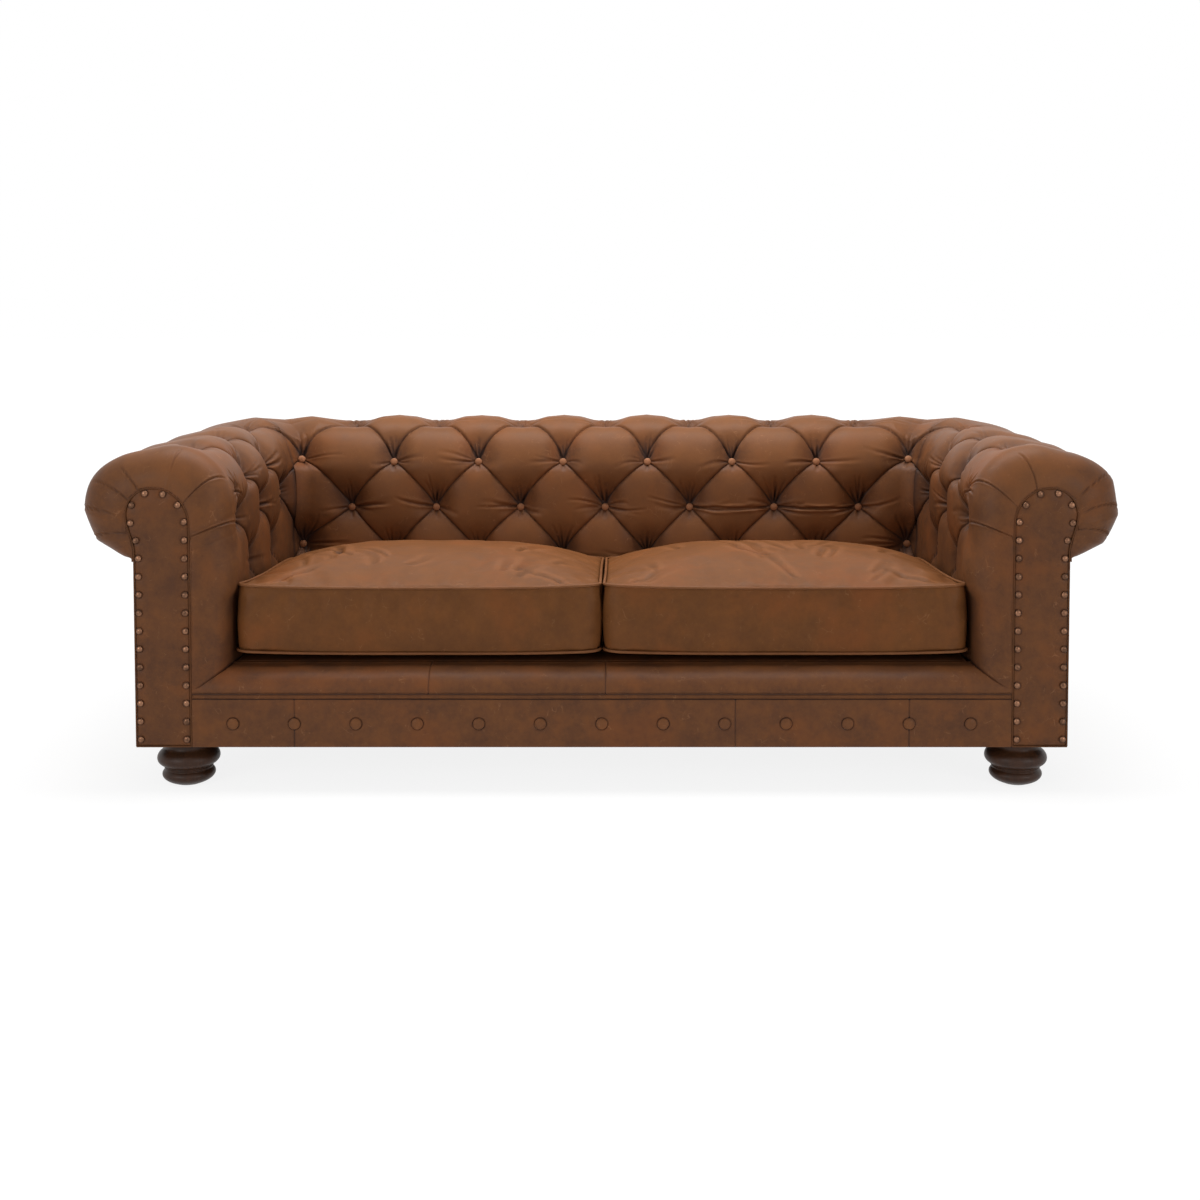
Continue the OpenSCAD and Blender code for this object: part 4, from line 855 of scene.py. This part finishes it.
def make_front_panel(side):
    """The keyhole panel: leather over thin wadding on a board, slightly full, and drawn in at each nail."""
    inset = PANEL_WELT * 0.6
    low, top_z = FOOT_H + inset, HEAD_TOP - inset
    head = HEAD_IN_Z + (top_z - HEAD_IN_Z) * np.sin(np.linspace(0, math.pi / 2, 34))
    levels = np.concatenate([np.arange(low, HEAD_IN_Z, 2.3), head[:-1], [top_z - 0.05]])
    r_in, r_out = HEAD_R_IN - inset, HEAD_R_OUT - inset
    rise_in, rise_out = np.clip((levels - HEAD_IN_Z) / r_in, 0, 1), np.clip((levels - HEAD_OUT_Z) / r_out, 0, 1)
    d_in = np.where(levels < HEAD_IN_Z, PANEL_IN + inset, HEAD_D - r_in * np.sqrt(1 - rise_in**2))[:, None]
    d_out = np.where(levels < HEAD_OUT_Z, neck_d(levels) - inset, HEAD_D + r_out * np.sqrt(1 - rise_out**2))[:, None]
    t = np.concatenate([[0, 0.012, 0.024, 0.036], np.linspace(0.05, 0.95, 48), [0.964, 0.976, 0.988, 1]])
    d = d_in + (d_out - d_in) * t
    z = np.repeat(levels[:, None], len(t), 1)
    edge = np.minimum(np.minimum(d - d_in, d_out - d), np.minimum(z - low, top_z - z))
    y = 5.0 * np.exp(-edge / 2.2) - 1.6 * smooth((edge - 4) / 30)
    ring = np.zeros_like(y)
    for nail_d, nail_z in nail_places():
        away = np.hypot(d - nail_d, z - nail_z)
        y += 1.7 * np.exp(-((away / 12.0) ** 2))
        ring += np.exp(-(((away - NAIL_R - 0.9) / 1.7) ** 2))
    front = np.stack([HALF_W + d, y + 0.8 * ring, z], -1)
    front[..., 1] += 0.9 * ripple(front, 60.0, 5 + side) * smooth(edge / 12)
    back = front.copy()
    back[..., 1] = PANEL_T
    rows, cols = d.shape
    count = rows * cols
    rim = [i * cols for i in range(rows)] + [(rows - 1) * cols + j for j in range(1, cols)]
    rim += [i * cols + cols - 1 for i in range(rows - 2, -1, -1)] + list(range(cols - 2, 0, -1))
    sides = []
    for a, b in zip(rim, rim[1:] + rim[:1]):
        sides += [(a, b, b + count), (a, b + count, a + count)]
    grid = wall_faces(rows, cols)
    faces = np.concatenate([grid, grid[:, ::-1] + count, np.array(sides)])
    points = np.concatenate([front.reshape(-1, 3), back.reshape(-1, 3)]) * [side, 1, 1]
    # Painted shade along the panel's edge at the welt and in a ring round each nail
    crest = 0.55 - 0.5 * np.exp(-edge / 3) - 0.55 * ring
    node = f"{SIDES[side]}_front_panel"
    make_piece(node + "_leather", node, points, faces, pull_up_leather, crest)


def make_tube(name, node, paths, radius, material, closed, across, uneven, body="sofa"):
    """Leather-covered cords along paths. across is a direction that stays square to every path."""
    points, faces, base = [], [], 0
    around = np.arange(CORD_STEPS) * 2 * math.pi / CORD_STEPS
    for path in paths:
        path = np.asarray(path, dtype=float)
        along = np.roll(path, -1, 0) - np.roll(path, 1, 0) if closed else np.gradient(path, axis=0)
        along /= np.linalg.norm(along, axis=1, keepdims=True)
        side = np.cross(along, across)
        side /= np.linalg.norm(side, axis=1, keepdims=True)
        up = np.cross(side, along)
        at = np.arange(len(path))
        thick = radius * (1 + uneven * np.sin(at * 1.9) * np.sin(at * 0.37))
        ring = side[:, None] * np.cos(around)[None, :, None] + up[:, None] * np.sin(around)[None, :, None]
        points.append((path[:, None] + ring * thick[:, None, None]).reshape(-1, 3))
        wall = wall_faces(len(path), CORD_STEPS, True, True) if closed else capped_tube(len(path), CORD_STEPS)
        faces.append(base + wall)
        base += len(path) * CORD_STEPS
    make_piece(name, node, np.concatenate(points), np.concatenate(faces), material, body=body)


def make_panel_welt(side):
    """The welt round the arm front: a leather-covered cord in the seam between panel and padding, in a darker leather
    that paints the seam's shade.
    """
    r, step = PANEL_WELT / 2, 8.0
    low = FOOT_H + r
    line = [(PANEL_IN + r, z) for z in np.arange(low, HEAD_IN_Z, step)]
    line += list(zip(*outline(np.linspace(0, OUTLINE_LEN, 110), -r)))
    line += [(ARM_T - r, z) for z in np.arange(TUCK_Z - 4, low, -step)]
    line += [(d, low) for d in np.arange(ARM_T - r, PANEL_IN + r, -step)]
    path = [(side * (HALF_W + d), 1.4, z) for d, z in line]
    node = f"{SIDES[side]}_panel_welt"
    make_tube(node + "_cord", node, [path], r, shaded_welt_leather, True, (0, 1, 0), 0.04)


for side in SIDES:
    make_front_panel(side)
    make_panel_welt(side)

# Front border

LIP_SEAMS = (-378.0, 8.0)
BAND_SEAMS = (-5 * BAND_PITCH, 291.0, 5 * BAND_PITCH)


def make_border(name, node, line, move, seams, sewn_z, across=460):
    """A strip of the front border: a closed section swept across the sofa. move shifts its face inward."""
    near_seams = [at + np.arange(-5, 5.5, 0.7) for at in seams]
    x = np.unique(np.concatenate([np.linspace(-FRONT_LEN / 2, FRONT_LEN / 2, across)] + near_seams))
    line = np.asarray(line, dtype=float)
    xx = x[:, None] + 0 * line[None, :, 0]
    yy, zz = (line[None, :, i] + 0 * xx for i in (0, 1))
    seam = sum(np.exp(-(((xx - at) / 1.8) ** 2)) for at in seams)
    shift = move(xx, yy, zz) + 1.6 * seam
    normal = np.gradient(line, axis=0)[:, ::-1] * [1, -1]
    normal /= np.linalg.norm(normal, axis=1, keepdims=True)
    if ((line - line.mean(0)) * normal).sum() < 0:
        normal = -normal
    points = np.stack([xx, yy - normal[None, :, 0] * shift, zz - normal[None, :, 1] * shift], -1)
    # Painted shade at the seams, where the face is drawn in round buttons and along waves, and in a dark line along
    # the sewn edge
    crest = 0.55 - 0.5 * seam - 0.35 * np.clip(shift - 0.8, 0, 4) - 1.1 * np.exp(-(((zz - sewn_z) / 1.3) ** 2))
    faces = capped_tube(len(x), len(line))
    make_piece(name, node, points, faces, pull_up_leather, crest)


def lip_section():
    """Section of the lip's leather, up its face, over its round top to the rear and back along its inner side."""
    up, turn = LIP_TOP - LIP_START, np.radians(np.linspace(0, 90, 26))
    outer, inner = (
        [(LIP_ROUND - (LIP_ROUND - t) * math.cos(a), LIP_START + (up - t) * math.sin(a)) for a in turn]
        for t in (0, LIP_T)
    )
    face = [(0.9, LIP_Z - 1.4), (0.1, LIP_Z - 0.4), (0, LIP_Z + 4)]
    rear = LIP_D - CLEAR
    close = [(rear - 9, LIP_TOP + 0.4), (rear - 4, LIP_TOP + 2), (rear, DECK_Z - 0.6), (rear, LIP_TOP - LIP_T)]
    return face + outer + close + inner[::-1] + [(LIP_T, LIP_Z)]


def lip_wave(x, y, z):
    """How far the lip's face is drawn in along soft waves. It keeps straight above its welt."""
    front = smooth((z - LIP_Z - 8) / 8) * (y < LIP_ROUND)
    return front * (0.8 * np.sin(x / 61.0) * np.sin(x / 23.0 + z / 19.0) + 0.5 * np.sin(x / 140.0))


def band_section():
    """Section of the band's leather, from its rear foot edge round to its rear top edge."""
    r, t, top = 3.0, PANEL_T + 2, FOOT_H + BAND_H
    corner = [(r - r * math.cos(a), FOOT_H + r - r * math.sin(a)) for a in np.radians(np.linspace(90, 0, 6))]
    face = [(0.0, z) for z in np.linspace(FOOT_H + r + 3, top - 2, 58)]
    return [(t, FOOT_H)] + corner + face + [(0.8, top + 0.9), (t, top + 0.9)]


def band_wave(x, y, z):
    """How far the band's face is drawn in: round each button and along soft waves."""
    away = [np.hypot(x - place[0], z - place[2]) for place in band_places]
    pull = sum(np.exp(-((far / 19.0) ** 2)) for far in away)
    ring = sum(np.exp(-(((far - BAND_BUTTON_R - 0.6) / 1.3) ** 2)) for far in away)
    wave = 0.7 * np.sin(x / 47.0 + z / 31.0) * np.sin(x / 19.0)
    return np.where(y < 1.0, 0.6 * pull + 3.0 * ring + 0.6 * wave, 0)


make_border("front_lip_leather", "front_lip", lip_section(), lip_wave, LIP_SEAMS, LIP_Z - 1)
BAND_SEWN_Z = FOOT_H + BAND_H + 0.6
make_border("front_band_leather", "front_band", band_section(), band_wave, BAND_SEAMS, BAND_SEWN_Z, 1000)
xs = np.linspace(-FRONT_LEN / 2, FRONT_LEN / 2, 360)
cords = [[(x, CORD_R + 0.9, WELT_Z + h + 0.25 * math.sin(x / 90.0)) for x in xs] for h in (3.6, 7.4)]
make_tube("front_double_welt", "front_welt", cords, CORD_R, pull_up_leather, False, (0, 0, 1), 0.06)

# Seat cushions

COVER_X = (HALF_W - CUSHION_GAP / 2 - CUSHION_SIDE_GAP) / 2 - (2 * CUSHION_WELT_R + 0.6)
COVER_Y = (SEAT_D - CUSHION_SIDE_GAP - CUSHION_FRONT) / 2 - (2 * CUSHION_WELT_R + 0.6)
CUSHION_X = CUSHION_GAP / 2 + (HALF_W - CUSHION_GAP / 2 - CUSHION_SIDE_GAP) / 2
CUSHION_Y = CUSHION_FRONT + (SEAT_D - CUSHION_SIDE_GAP - CUSHION_FRONT) / 2
LOW_WELT_Z = DECK_Z + CUSHION_LIFT
TOP_WELT_Z = LOW_WELT_Z + CUSHION_BOX
SIDE_STEPS = 44
LOW_SPREAD, TOP_SPREAD, CORNER_SINK, CROWN_MORE = 6.0, 2.0, 13.0, 7
VOXEL, WRINKLE_MAX, HELD_WITHIN = 0.007, 0.007, 0.009  # in metres
CLOTH_FRAMES, SWELL_PASSES = 20, 90


def rim(grow, pull, side, spread):
    """A cushion's outline in plan: round corners, sides drawn in between them, though little where the two
    cushions press together, and front corners that spread where the arm rounds away."""
    points = []
    mid_x, mid_y, r = COVER_X - CUSHION_CORNER, COVER_Y - CUSHION_CORNER, CUSHION_CORNER + grow
    for q in range(4):
        x, y = (mid_x if q in (0, 3) else -mid_x), (mid_y if q < 2 else -mid_y)
        corner = q * math.pi / 2 + np.radians(np.arange(0, 91, 10))
        points += [(x + r * math.cos(a), y + r * math.sin(a)) for a in corner]
        for i in range(1, SIDE_STEPS):
            t = 2 * i / SIDE_STEPS - 1
            p = pull * (1 - t * t) * (0.2 if (0, -1, 0, 1)[q] * side < 0 else 1)
            rear, front = (-t * mid_x, COVER_Y + grow - p), (t * mid_x, -COVER_Y - grow + p)
            left, right = (-COVER_X - grow + p, -t * mid_y), (COVER_X + grow - p, t * mid_y)
            points.append((rear, left, front, right)[q])
    out = np.array(points)
    x, y = side * out[:, 0] / COVER_X, out[:, 1] / COVER_Y
    out[:, 0] += spread * side * smooth((x - 0.8) / 0.2) * smooth((-y - 0.7) / 0.26)
    return out


def corner_rise(p):
    """How far each corner lies above the sides between them: the rear ones sink instead."""
    share = np.abs(p[..., 0] * p[..., 1]) / (COVER_X * COVER_Y)
    return np.where(p[..., 1] < 0, CORNER_LIFT, -CORNER_SINK) * share**3


def fall(y):
    """How far a cushion's top welt has sunk toward the rear."""
    return CUSHION_FALL * (1 + y / COVER_Y) / 2


def cushion_form(side):
    """The filled cushion before its leather wrinkles: points about its own middle and triangles."""
    edge, foot = (rim(5.0, CUSHION_PULL, side, spread) for spread in (TOP_SPREAD, LOW_SPREAD))
    n = len(edge)
    inward = 1 - np.linspace(0, 1, 46)[:-1] ** 1.35
    under, over = [], []
    for f in inward:
        p = edge * f
        x, y = np.abs(p[:, 0]) / COVER_X, np.abs(p[:, 1]) / COVER_Y
        dome = (1 - np.clip(x, 0, 1) ** 3.4) * (1 - np.clip(y, 0, 1) ** 2.6) * (f < 1)
        lift = corner_rise(edge) * f**4
        over.append(np.column_stack([p, TOP_WELT_Z - fall(p[:, 1]) + (CUSHION_CROWN + CROWN_MORE) * dome + lift]))
        sag = (1 - np.clip(x, 0, 1) ** 3) * (1 - np.clip(y, 0, 1) ** 3) * (f < 1)
        under.append(np.column_stack([foot * f, LOW_WELT_Z - (CUSHION_LIFT - CLEAR) * sag + lift * 0.8]))
    wall = []
    for t in np.linspace(0, 1, 22)[1:-1]:
        full = math.sin(math.pi * t)
        p = rim(5 + 4 * full, CUSHION_PULL * (1 - 0.4 * full), side, mix(LOW_SPREAD, TOP_SPREAD, t))
        lift = corner_rise(edge)
        wall.append(np.column_stack([p, mix(LOW_WELT_Z + 0.8 * lift, TOP_WELT_Z - fall(p[:, 1]) + lift, t)]))
    shape = np.array(under[::-1] + wall + over)
    poles = [[0, 0, LOW_WELT_Z - CUSHION_LIFT + CLEAR], [0, 0, TOP_WELT_Z - fall(0) + CUSHION_CROWN + CROWN_MORE]]
    points = np.concatenate([shape.reshape(-1, 3), poles])
    count, last = len(points) - 2, len(points) - 2 - n
    caps = [((i + 1) % n, i, count) for i in range(n)] + [(last + i, last + (i + 1) % n, count + 1) for i in range(n)]
    on_top = smooth((points[:, 2] - TOP_WELT_Z + fall(points[:, 1]) - corner_rise(points) - 1) / 12)
    points[:, 2] -= 2.4 * ripple(points + [side * 900, 0, 0], 110.0, 2) * on_top
    return points, np.concatenate([wall_faces(len(shape), n, closed_cols=True), np.array(caps)])


def sat_on(a, b, side):
    """Depth of the soft creases that people's weight has left in a cushion's top, most from its front edge."""
    depth = np.zeros_like(a)
    rng = np.random.default_rng(14 + 3 * side)
    for _ in range(17):
        start = np.array([rng.uniform(-0.75, 0.75) * COVER_X, rng.uniform(-0.95, 0.0) * COVER_Y])
        angle = math.pi / 2 - math.copysign(rng.uniform(0.15, 0.7), start[0] - 40 * side)
        end = start + rng.uniform(80, 190) * reach(angle)
        crease(depth, a, b, start, end, rng.uniform(3.6, 7.0), rng.uniform(7, 12), rng.uniform(-14, 14))
    for x in (-0.93, 0.93):
        for _ in range(3):
            start = np.array([x * COVER_X, -0.95 * COVER_Y]) - [math.copysign(rng.uniform(8, 50), x), 0]
            end = start + rng.uniform(90, 170) * np.array([-math.copysign(0.75, x), 0.66])
            crease(depth, a, b, start, end, rng.uniform(2.4, 4.2), rng.uniform(6, 9), rng.uniform(-8, 8))
    return depth


def welt_paths(side):
    """The lines of a cushion's lower and upper welt, about its own middle."""
    low, top = (rim(6.6, CUSHION_PULL, side, spread) for spread in (LOW_SPREAD, TOP_SPREAD))
    top_z = TOP_WELT_Z - fall(top[:, 1]) + corner_rise(top)
    return [np.column_stack([low, LOW_WELT_Z + 0.8 * corner_rise(low)]), np.column_stack([top, top_z])]


def read_points(mesh):
    values = np.empty(len(mesh.vertices) * 3)
    mesh.vertices.foreach_get("co", values)
    return values.reshape(-1, 3)


def settled(piece):
    """A new mesh from a piece with its modifiers applied."""
    mesh = bpy.data.meshes.new_from_object(piece.evaluated_get(bpy.context.evaluated_depsgraph_get()))
    piece.modifiers.clear()
    piece.data = mesh
    return mesh


def neighbour_mean(values, edges, count):
    total = np.zeros_like(values)
    for one, two in ((edges[:, 0], edges[:, 1]), (edges[:, 1], edges[:, 0])):
        for axis in range(3):
            total[:, axis] += np.bincount(one, weights=values[two, axis], minlength=len(values))
    return total / count


def wrinkled(piece, start, side):
    """Blows the leather up over its filling, with both seams held, and returns how far each point moves: the
    wrinkles whole, and the slow swell only a little, so that the crown keeps its height."""
    held = KDTree(2000)
    lines = [line for path in welt_paths(side) for line in (path, (path + np.roll(path, 1, 0)) / 2)]
    for i, p in enumerate(np.concatenate(lines) * MM):
        held.insert(p, i)
    held.balance()
    fixed = [i for i, p in enumerate(start.tolist()) if p[2] < (LOW_WELT_Z - 2) * MM or held.find(p)[2] < HELD_WITHIN]
    piece.vertex_groups.new(name="sewn").add(fixed, 1.0, "REPLACE")
    cloth = piece.modifiers.new("cloth", "CLOTH")
    hide = {
        "vertex_group_mass": "sewn", "quality": 5, "mass": 0.4, "use_pressure": True, "uniform_pressure_force": 4.0,
        "shrink_min": -0.015, "tension_stiffness": 30, "compression_stiffness": 30, "shear_stiffness": 15,
        "bending_stiffness": 30,
    }
    for name, value in hide.items():
        setattr(cloth.settings, name, value)
    cloth.settings.effector_weights.gravity = 0.0
    cloth.collision_settings.use_collision = False
    cloth.point_cache.frame_start, cloth.point_cache.frame_end = 1, CLOTH_FRAMES
    for step in range(1, CLOTH_FRAMES + 1):
        bpy.context.scene.frame_set(step)
    move = read_points(settled(piece)) - start
    bpy.context.scene.frame_set(1)
    edges = np.empty(len(piece.data.edges) * 2, dtype=np.int32)
    piece.data.edges.foreach_get("vertices", edges)
    edges = edges.reshape(-1, 2)
    count = np.bincount(edges.ravel(), minlength=len(start))[:, None]
    swell = move
    for _ in range(SWELL_PASSES):
        swell = 0.3 * swell + 0.7 * neighbour_mean(swell, edges, count)
    move = move - swell
    far = np.linalg.norm(move, axis=1, keepdims=True)
    return 0.1 * swell + move * np.minimum(1, WRINKLE_MAX / np.maximum(far, 1e-9))


def make_cushion(side):
    """A seat cushion's cover, blown up over its filling and creased, and its two welts."""
    body = f"{SIDES[side]}_cushion"
    points, faces = cushion_form(side)
    mesh = bpy.data.meshes.new(body + "_leather")
    mesh.from_pydata((points * MM).tolist(), [], faces.tolist())
    piece = placed(mesh.name, mesh)
    grid = piece.modifiers.new("grid", "REMESH")
    grid.mode, grid.voxel_size = "VOXEL", VOXEL
    start = read_points(settled(piece))
    move = wrinkled(piece, start, side)
    mesh, at = piece.data, start / MM
    on_top = smooth((at[:, 2] - (TOP_WELT_Z - fall(at[:, 1]) + corner_rise(at)) + 2) / 8)
    move *= mix(0.45, 0.9, on_top)[:, None]
    height = -sat_on(at[:, 0], at[:, 1], side) * on_top
    move[:, 2] += height * MM
    mesh.vertices.foreach_set("co", (start + move + np.array([side * CUSHION_X, CUSHION_Y - MID_Y, 0]) * MM).ravel())
    # Crest value: the top paler than the boxing, the creases' grooves darker as painted shade, and their ridges paler,
    # partly pull-up paling and partly a painted highlight
    write_crest_and_shade(mesh, mix(0.5, 0.7, on_top) + 0.11 * height + 0.4 * np.clip(height, 0, 1.4))
    mesh.polygons.foreach_set("use_smooth", np.full(len(mesh.polygons), True))
    finer = piece.modifiers.new("finer", "SUBSURF")
    finer.levels = finer.render_levels = 1
    mesh = settled(piece)
    piece.vertex_groups.clear()
    mesh.name = piece.name
    mesh.materials.append(seat_leather)
    enter(piece, body + "_cover", body)
    paths = [path + [side * CUSHION_X, CUSHION_Y, 0] for path in welt_paths(side)]
    names = body + "_welt_cords", body + "_welts"
    # The welts in the paler leather: a painted highlight on the cords
    make_tube(*names, paths, CUSHION_WELT_R * 0.8, lit_cord_leather, True, (0, 0, 1), 0.05, body)


for side in SIDES:
    make_cushion(side)

# What the leather hides, and the feet

TIMBERS = """front_rail rear_rail left_side_rail right_side_rail centre_rail corner_blocks left_arm_front_post
right_arm_front_post left_arm_rear_post right_arm_rear_post left_arm_rail right_arm_rail back_rail back_uprights"""
for nodes, material in (
    (TIMBERS, frame_timber), ("left_arm_liner right_arm_liner back_liner", liner_board),
    ("seat_springs spring_clips foot_bolts", spring_steel), ("left_cushion_zip right_cushion_zip", zip_tape),
):
    for node in nodes.split():
        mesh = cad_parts[node].data
        mesh.materials.clear()
        mesh.materials.append(material)

# Radius and height down the turned line of a bun foot
FOOT_LINE = [
    (0, 97.2), (49, 97.2), (49.6, 92), (49.8, 84), (52, 79.4), (57.4, 75.4), (63.4, 70.6), (67.4, 64.6), (68.6, 57.6),
    (67.2, 51.4), (62.8, 46), (56.4, 41.8), (51.6, 39.6), (51.8, 38.2), (53.0, 37), (53.2, 35.8), (52.4, 34.8),
    (51.2, 33.8), (51.4, 32.4), (54.6, 29.4), (57.4, 25.2), (58, 20.6), (56.6, 16), (52.6, 11), (46.6, 6.8), (40, 3.6),
    (34.4, 1.6), (31, 0), (0, 0),
]
FOOT_STEPS = 72  # sides of a foot's round section


def make_foot(node, x, y):
    """A turned bun foot: a short column, a wide upper bun, a bead in the neck and a lower bun that rounds in
    to the floor."""
    line = np.array(FOOT_LINE, dtype=float)
    fine = np.linspace(0, len(line) - 1, 4 * len(line) - 3)
    r, z = (np.interp(fine, np.arange(len(line)), line[:, i]) for i in (0, 1))
    for _ in range(3):
        for values in (r, z):
            values[8:-8] = (values[7:-9] + 2 * values[8:-8] + values[9:-7]) / 4
    a = np.arange(FOOT_STEPS) * 2 * math.pi / FOOT_STEPS
    ring, level = np.stack([np.cos(a), np.sin(a), 0 * a], -1), np.array([0, 0, 1])
    body = ring[None] * r[1:-1, None, None] + level * z[1:-1, None, None]
    points = np.concatenate([body.reshape(-1, 3), [[0, 0, z[0]], [0, 0, z[-1]]]]) + [x, y, 0]
    count, last = len(points) - 2, len(points) - 2 - FOOT_STEPS
    round_next = [(j, (j + 1) % FOOT_STEPS) for j in range(FOOT_STEPS)]
    caps = [(j, k, count) for j, k in round_next] + [(last + k, last + j, count + 1) for j, k in round_next]
    faces = np.concatenate([wall_faces(body.shape[0], FOOT_STEPS, closed_cols=True), np.array(caps)[:, ::-1]])
    make_piece(node + "_turned", node, points, faces, walnut_stain)


for end, y in (("front", FOOT_FRONT), ("rear", SEAT_D + ARM_T - FOOT_FRONT)):
    for side, where in SIDES.items():
        make_foot(f"{end}_{where}_foot", side * (HALF_W + FOOT_OUT), y)


def softened(node, name, material, bevel=2.0, body="sofa"):
    """A soft piece in the space of its CAD solid: a merged copy with its edges rounded."""
    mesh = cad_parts[node].data.copy()
    mesh.name = name
    work = bmesh.new()
    work.from_mesh(mesh)
    bmesh.ops.remove_doubles(work, verts=work.verts, dist=0.00002)
    bmesh.ops.dissolve_limit(work, angle_limit=0.02, verts=work.verts, edges=work.edges)
    work.to_mesh(mesh)
    work.free()
    mesh.materials.clear()
    mesh.materials.append(material)
    write_crest_and_shade(mesh, np.full(len(mesh.vertices), 0.5))
    piece = placed(name, mesh)
    if bevel:
        edge = piece.modifiers.new("edges", "BEVEL")
        edge.width, edge.segments = bevel * MM, 2
        edge.limit_method, edge.angle_limit = "ANGLE", math.radians(40)
    enter(piece, node, body)


for node in ("left_arm_foam", "right_arm_foam", "back_foam", "lip_foam", "deck_pad"):
    softened(node, node + "_block", cushion_foam)
for where in SIDES.values():
    foam, panel = f"{where}_cushion_foam", f"{where}_outside_arm"
    softened(foam, foam + "_block", cushion_foam, bevel=8.0, body=f"{where}_cushion")
    softened(panel, panel + "_leather", pull_up_leather, 1.5)
softened("outside_back", "outside_back_leather", pull_up_leather, 1.5)
softened("deck_cover", "deck_cover_leather", pull_up_leather, 1.0)
softened("dust_cover", "dust_cover_cloth", black_cambric, 0)

# Studio: a pale floor, soft light from above and in front, and the photograph's camera


def seen_by_eye(tree):
    """1 for rays that the camera sees, straight or by way of a surface, and 0 for those that only light."""
    rays = add(tree, "ShaderNodeLightPath").outputs
    seen = maths(tree, "MAXIMUM", rays["Is Camera Ray"], rays["Is Glossy Ray"])
    return maths(tree, "MAXIMUM", seen, rays["Is Transmission Ray"])


def make_floor():
    """A wide floor of matt paper that glows, for the eye only, more the farther it lies from the sofa."""
    far = 30.0
    mesh = bpy.data.meshes.new("studio_floor")
    mesh.from_pydata([(-far, -far, 0), (far, -far, 0), (far, far, 0), (-far, far, 0)], [], [(0, 1, 2, 3)])
    material, tree, shader, place = new_material("studio_floor_paper")
    feed(tree, shader, {"Base Color": paint("#eeeeee"), "Roughness": 0.9})
    far_off = add(tree, "ShaderNodeVectorMath", {0: place}, operation="LENGTH").outputs["Value"]
    share = maths(tree, "MULTIPLY", seen_by_eye(tree), scaled(tree, far_off, 1.2, 3.2, 0.78, 1.0))
    glow = add(tree, "ShaderNodeEmission", {"Color": (1, 1, 1, 1), "Strength": 1.1})
    both = add(tree, "ShaderNodeMixShader", {0: share, 1: shader.outputs[0], 2: glow.outputs[0]})
    out = next(n for n in tree.nodes if n.type == "OUTPUT_MATERIAL")
    feed(tree, out, {"Surface": both.outputs[0]})
    mesh.materials.append(material)
    placed("studio_floor", mesh)


def make_world():
    """White surroundings, fainter as light than as the eye sees them."""
    world = bpy.data.worlds.new("studio_world")
    bpy.context.scene.world = world
    world.use_nodes = True
    tree = world.node_tree
    tree.nodes.clear()
    strength = scaled(tree, seen_by_eye(tree), 0.0, 1.0, 0.3, 1.0)
    sky = add(tree, "ShaderNodeBackground", {"Color": (1, 1, 1, 1), "Strength": strength})
    add(tree, "ShaderNodeOutputWorld", {"Surface": sky.outputs[0]})


def area_light(name, place, aim, size, power):
    """A softbox that faces a place. Its size is in metres and its power in watts."""
    light = bpy.data.lights.new(name, "AREA")
    light.shape = "RECTANGLE"
    light.size, light.size_y = size
    light.energy = power
    lamp = placed(name, light)
    lamp.location = place
    x, y, z = np.array(aim, dtype=float) - place
    lamp.rotation_euler = (math.atan2(math.hypot(x, y), -z), 0, math.atan2(-x, y))


make_floor()
make_world()
area_light("softbox_above", (0.0, 0.0, 2.9), (0.0, 0.1, 0.3), (3.2, 1.2), 88)
area_light("softbox_front_left", (-2.6, -3.4, 1.5), (0.0, 0.0, 0.4), (1.6, 1.2), 28)
area_light("softbox_front_right", (2.8, -3.2, 1.4), (0.0, 0.0, 0.4), (1.6, 1.2), 24)

lens = bpy.data.cameras.new("camera")
lens.lens, lens.sensor_width = 47.43, 36.0
lens.shift_x, lens.shift_y = -0.0183, -0.1905
camera = placed("camera", lens)
camera.location = (0.044, -3.903, 1.097)
camera.rotation_euler = (math.radians(87), 0, 0)
bpy.context.scene.camera = camera
bpy.context.scene.view_settings.view_transform = "Standard"
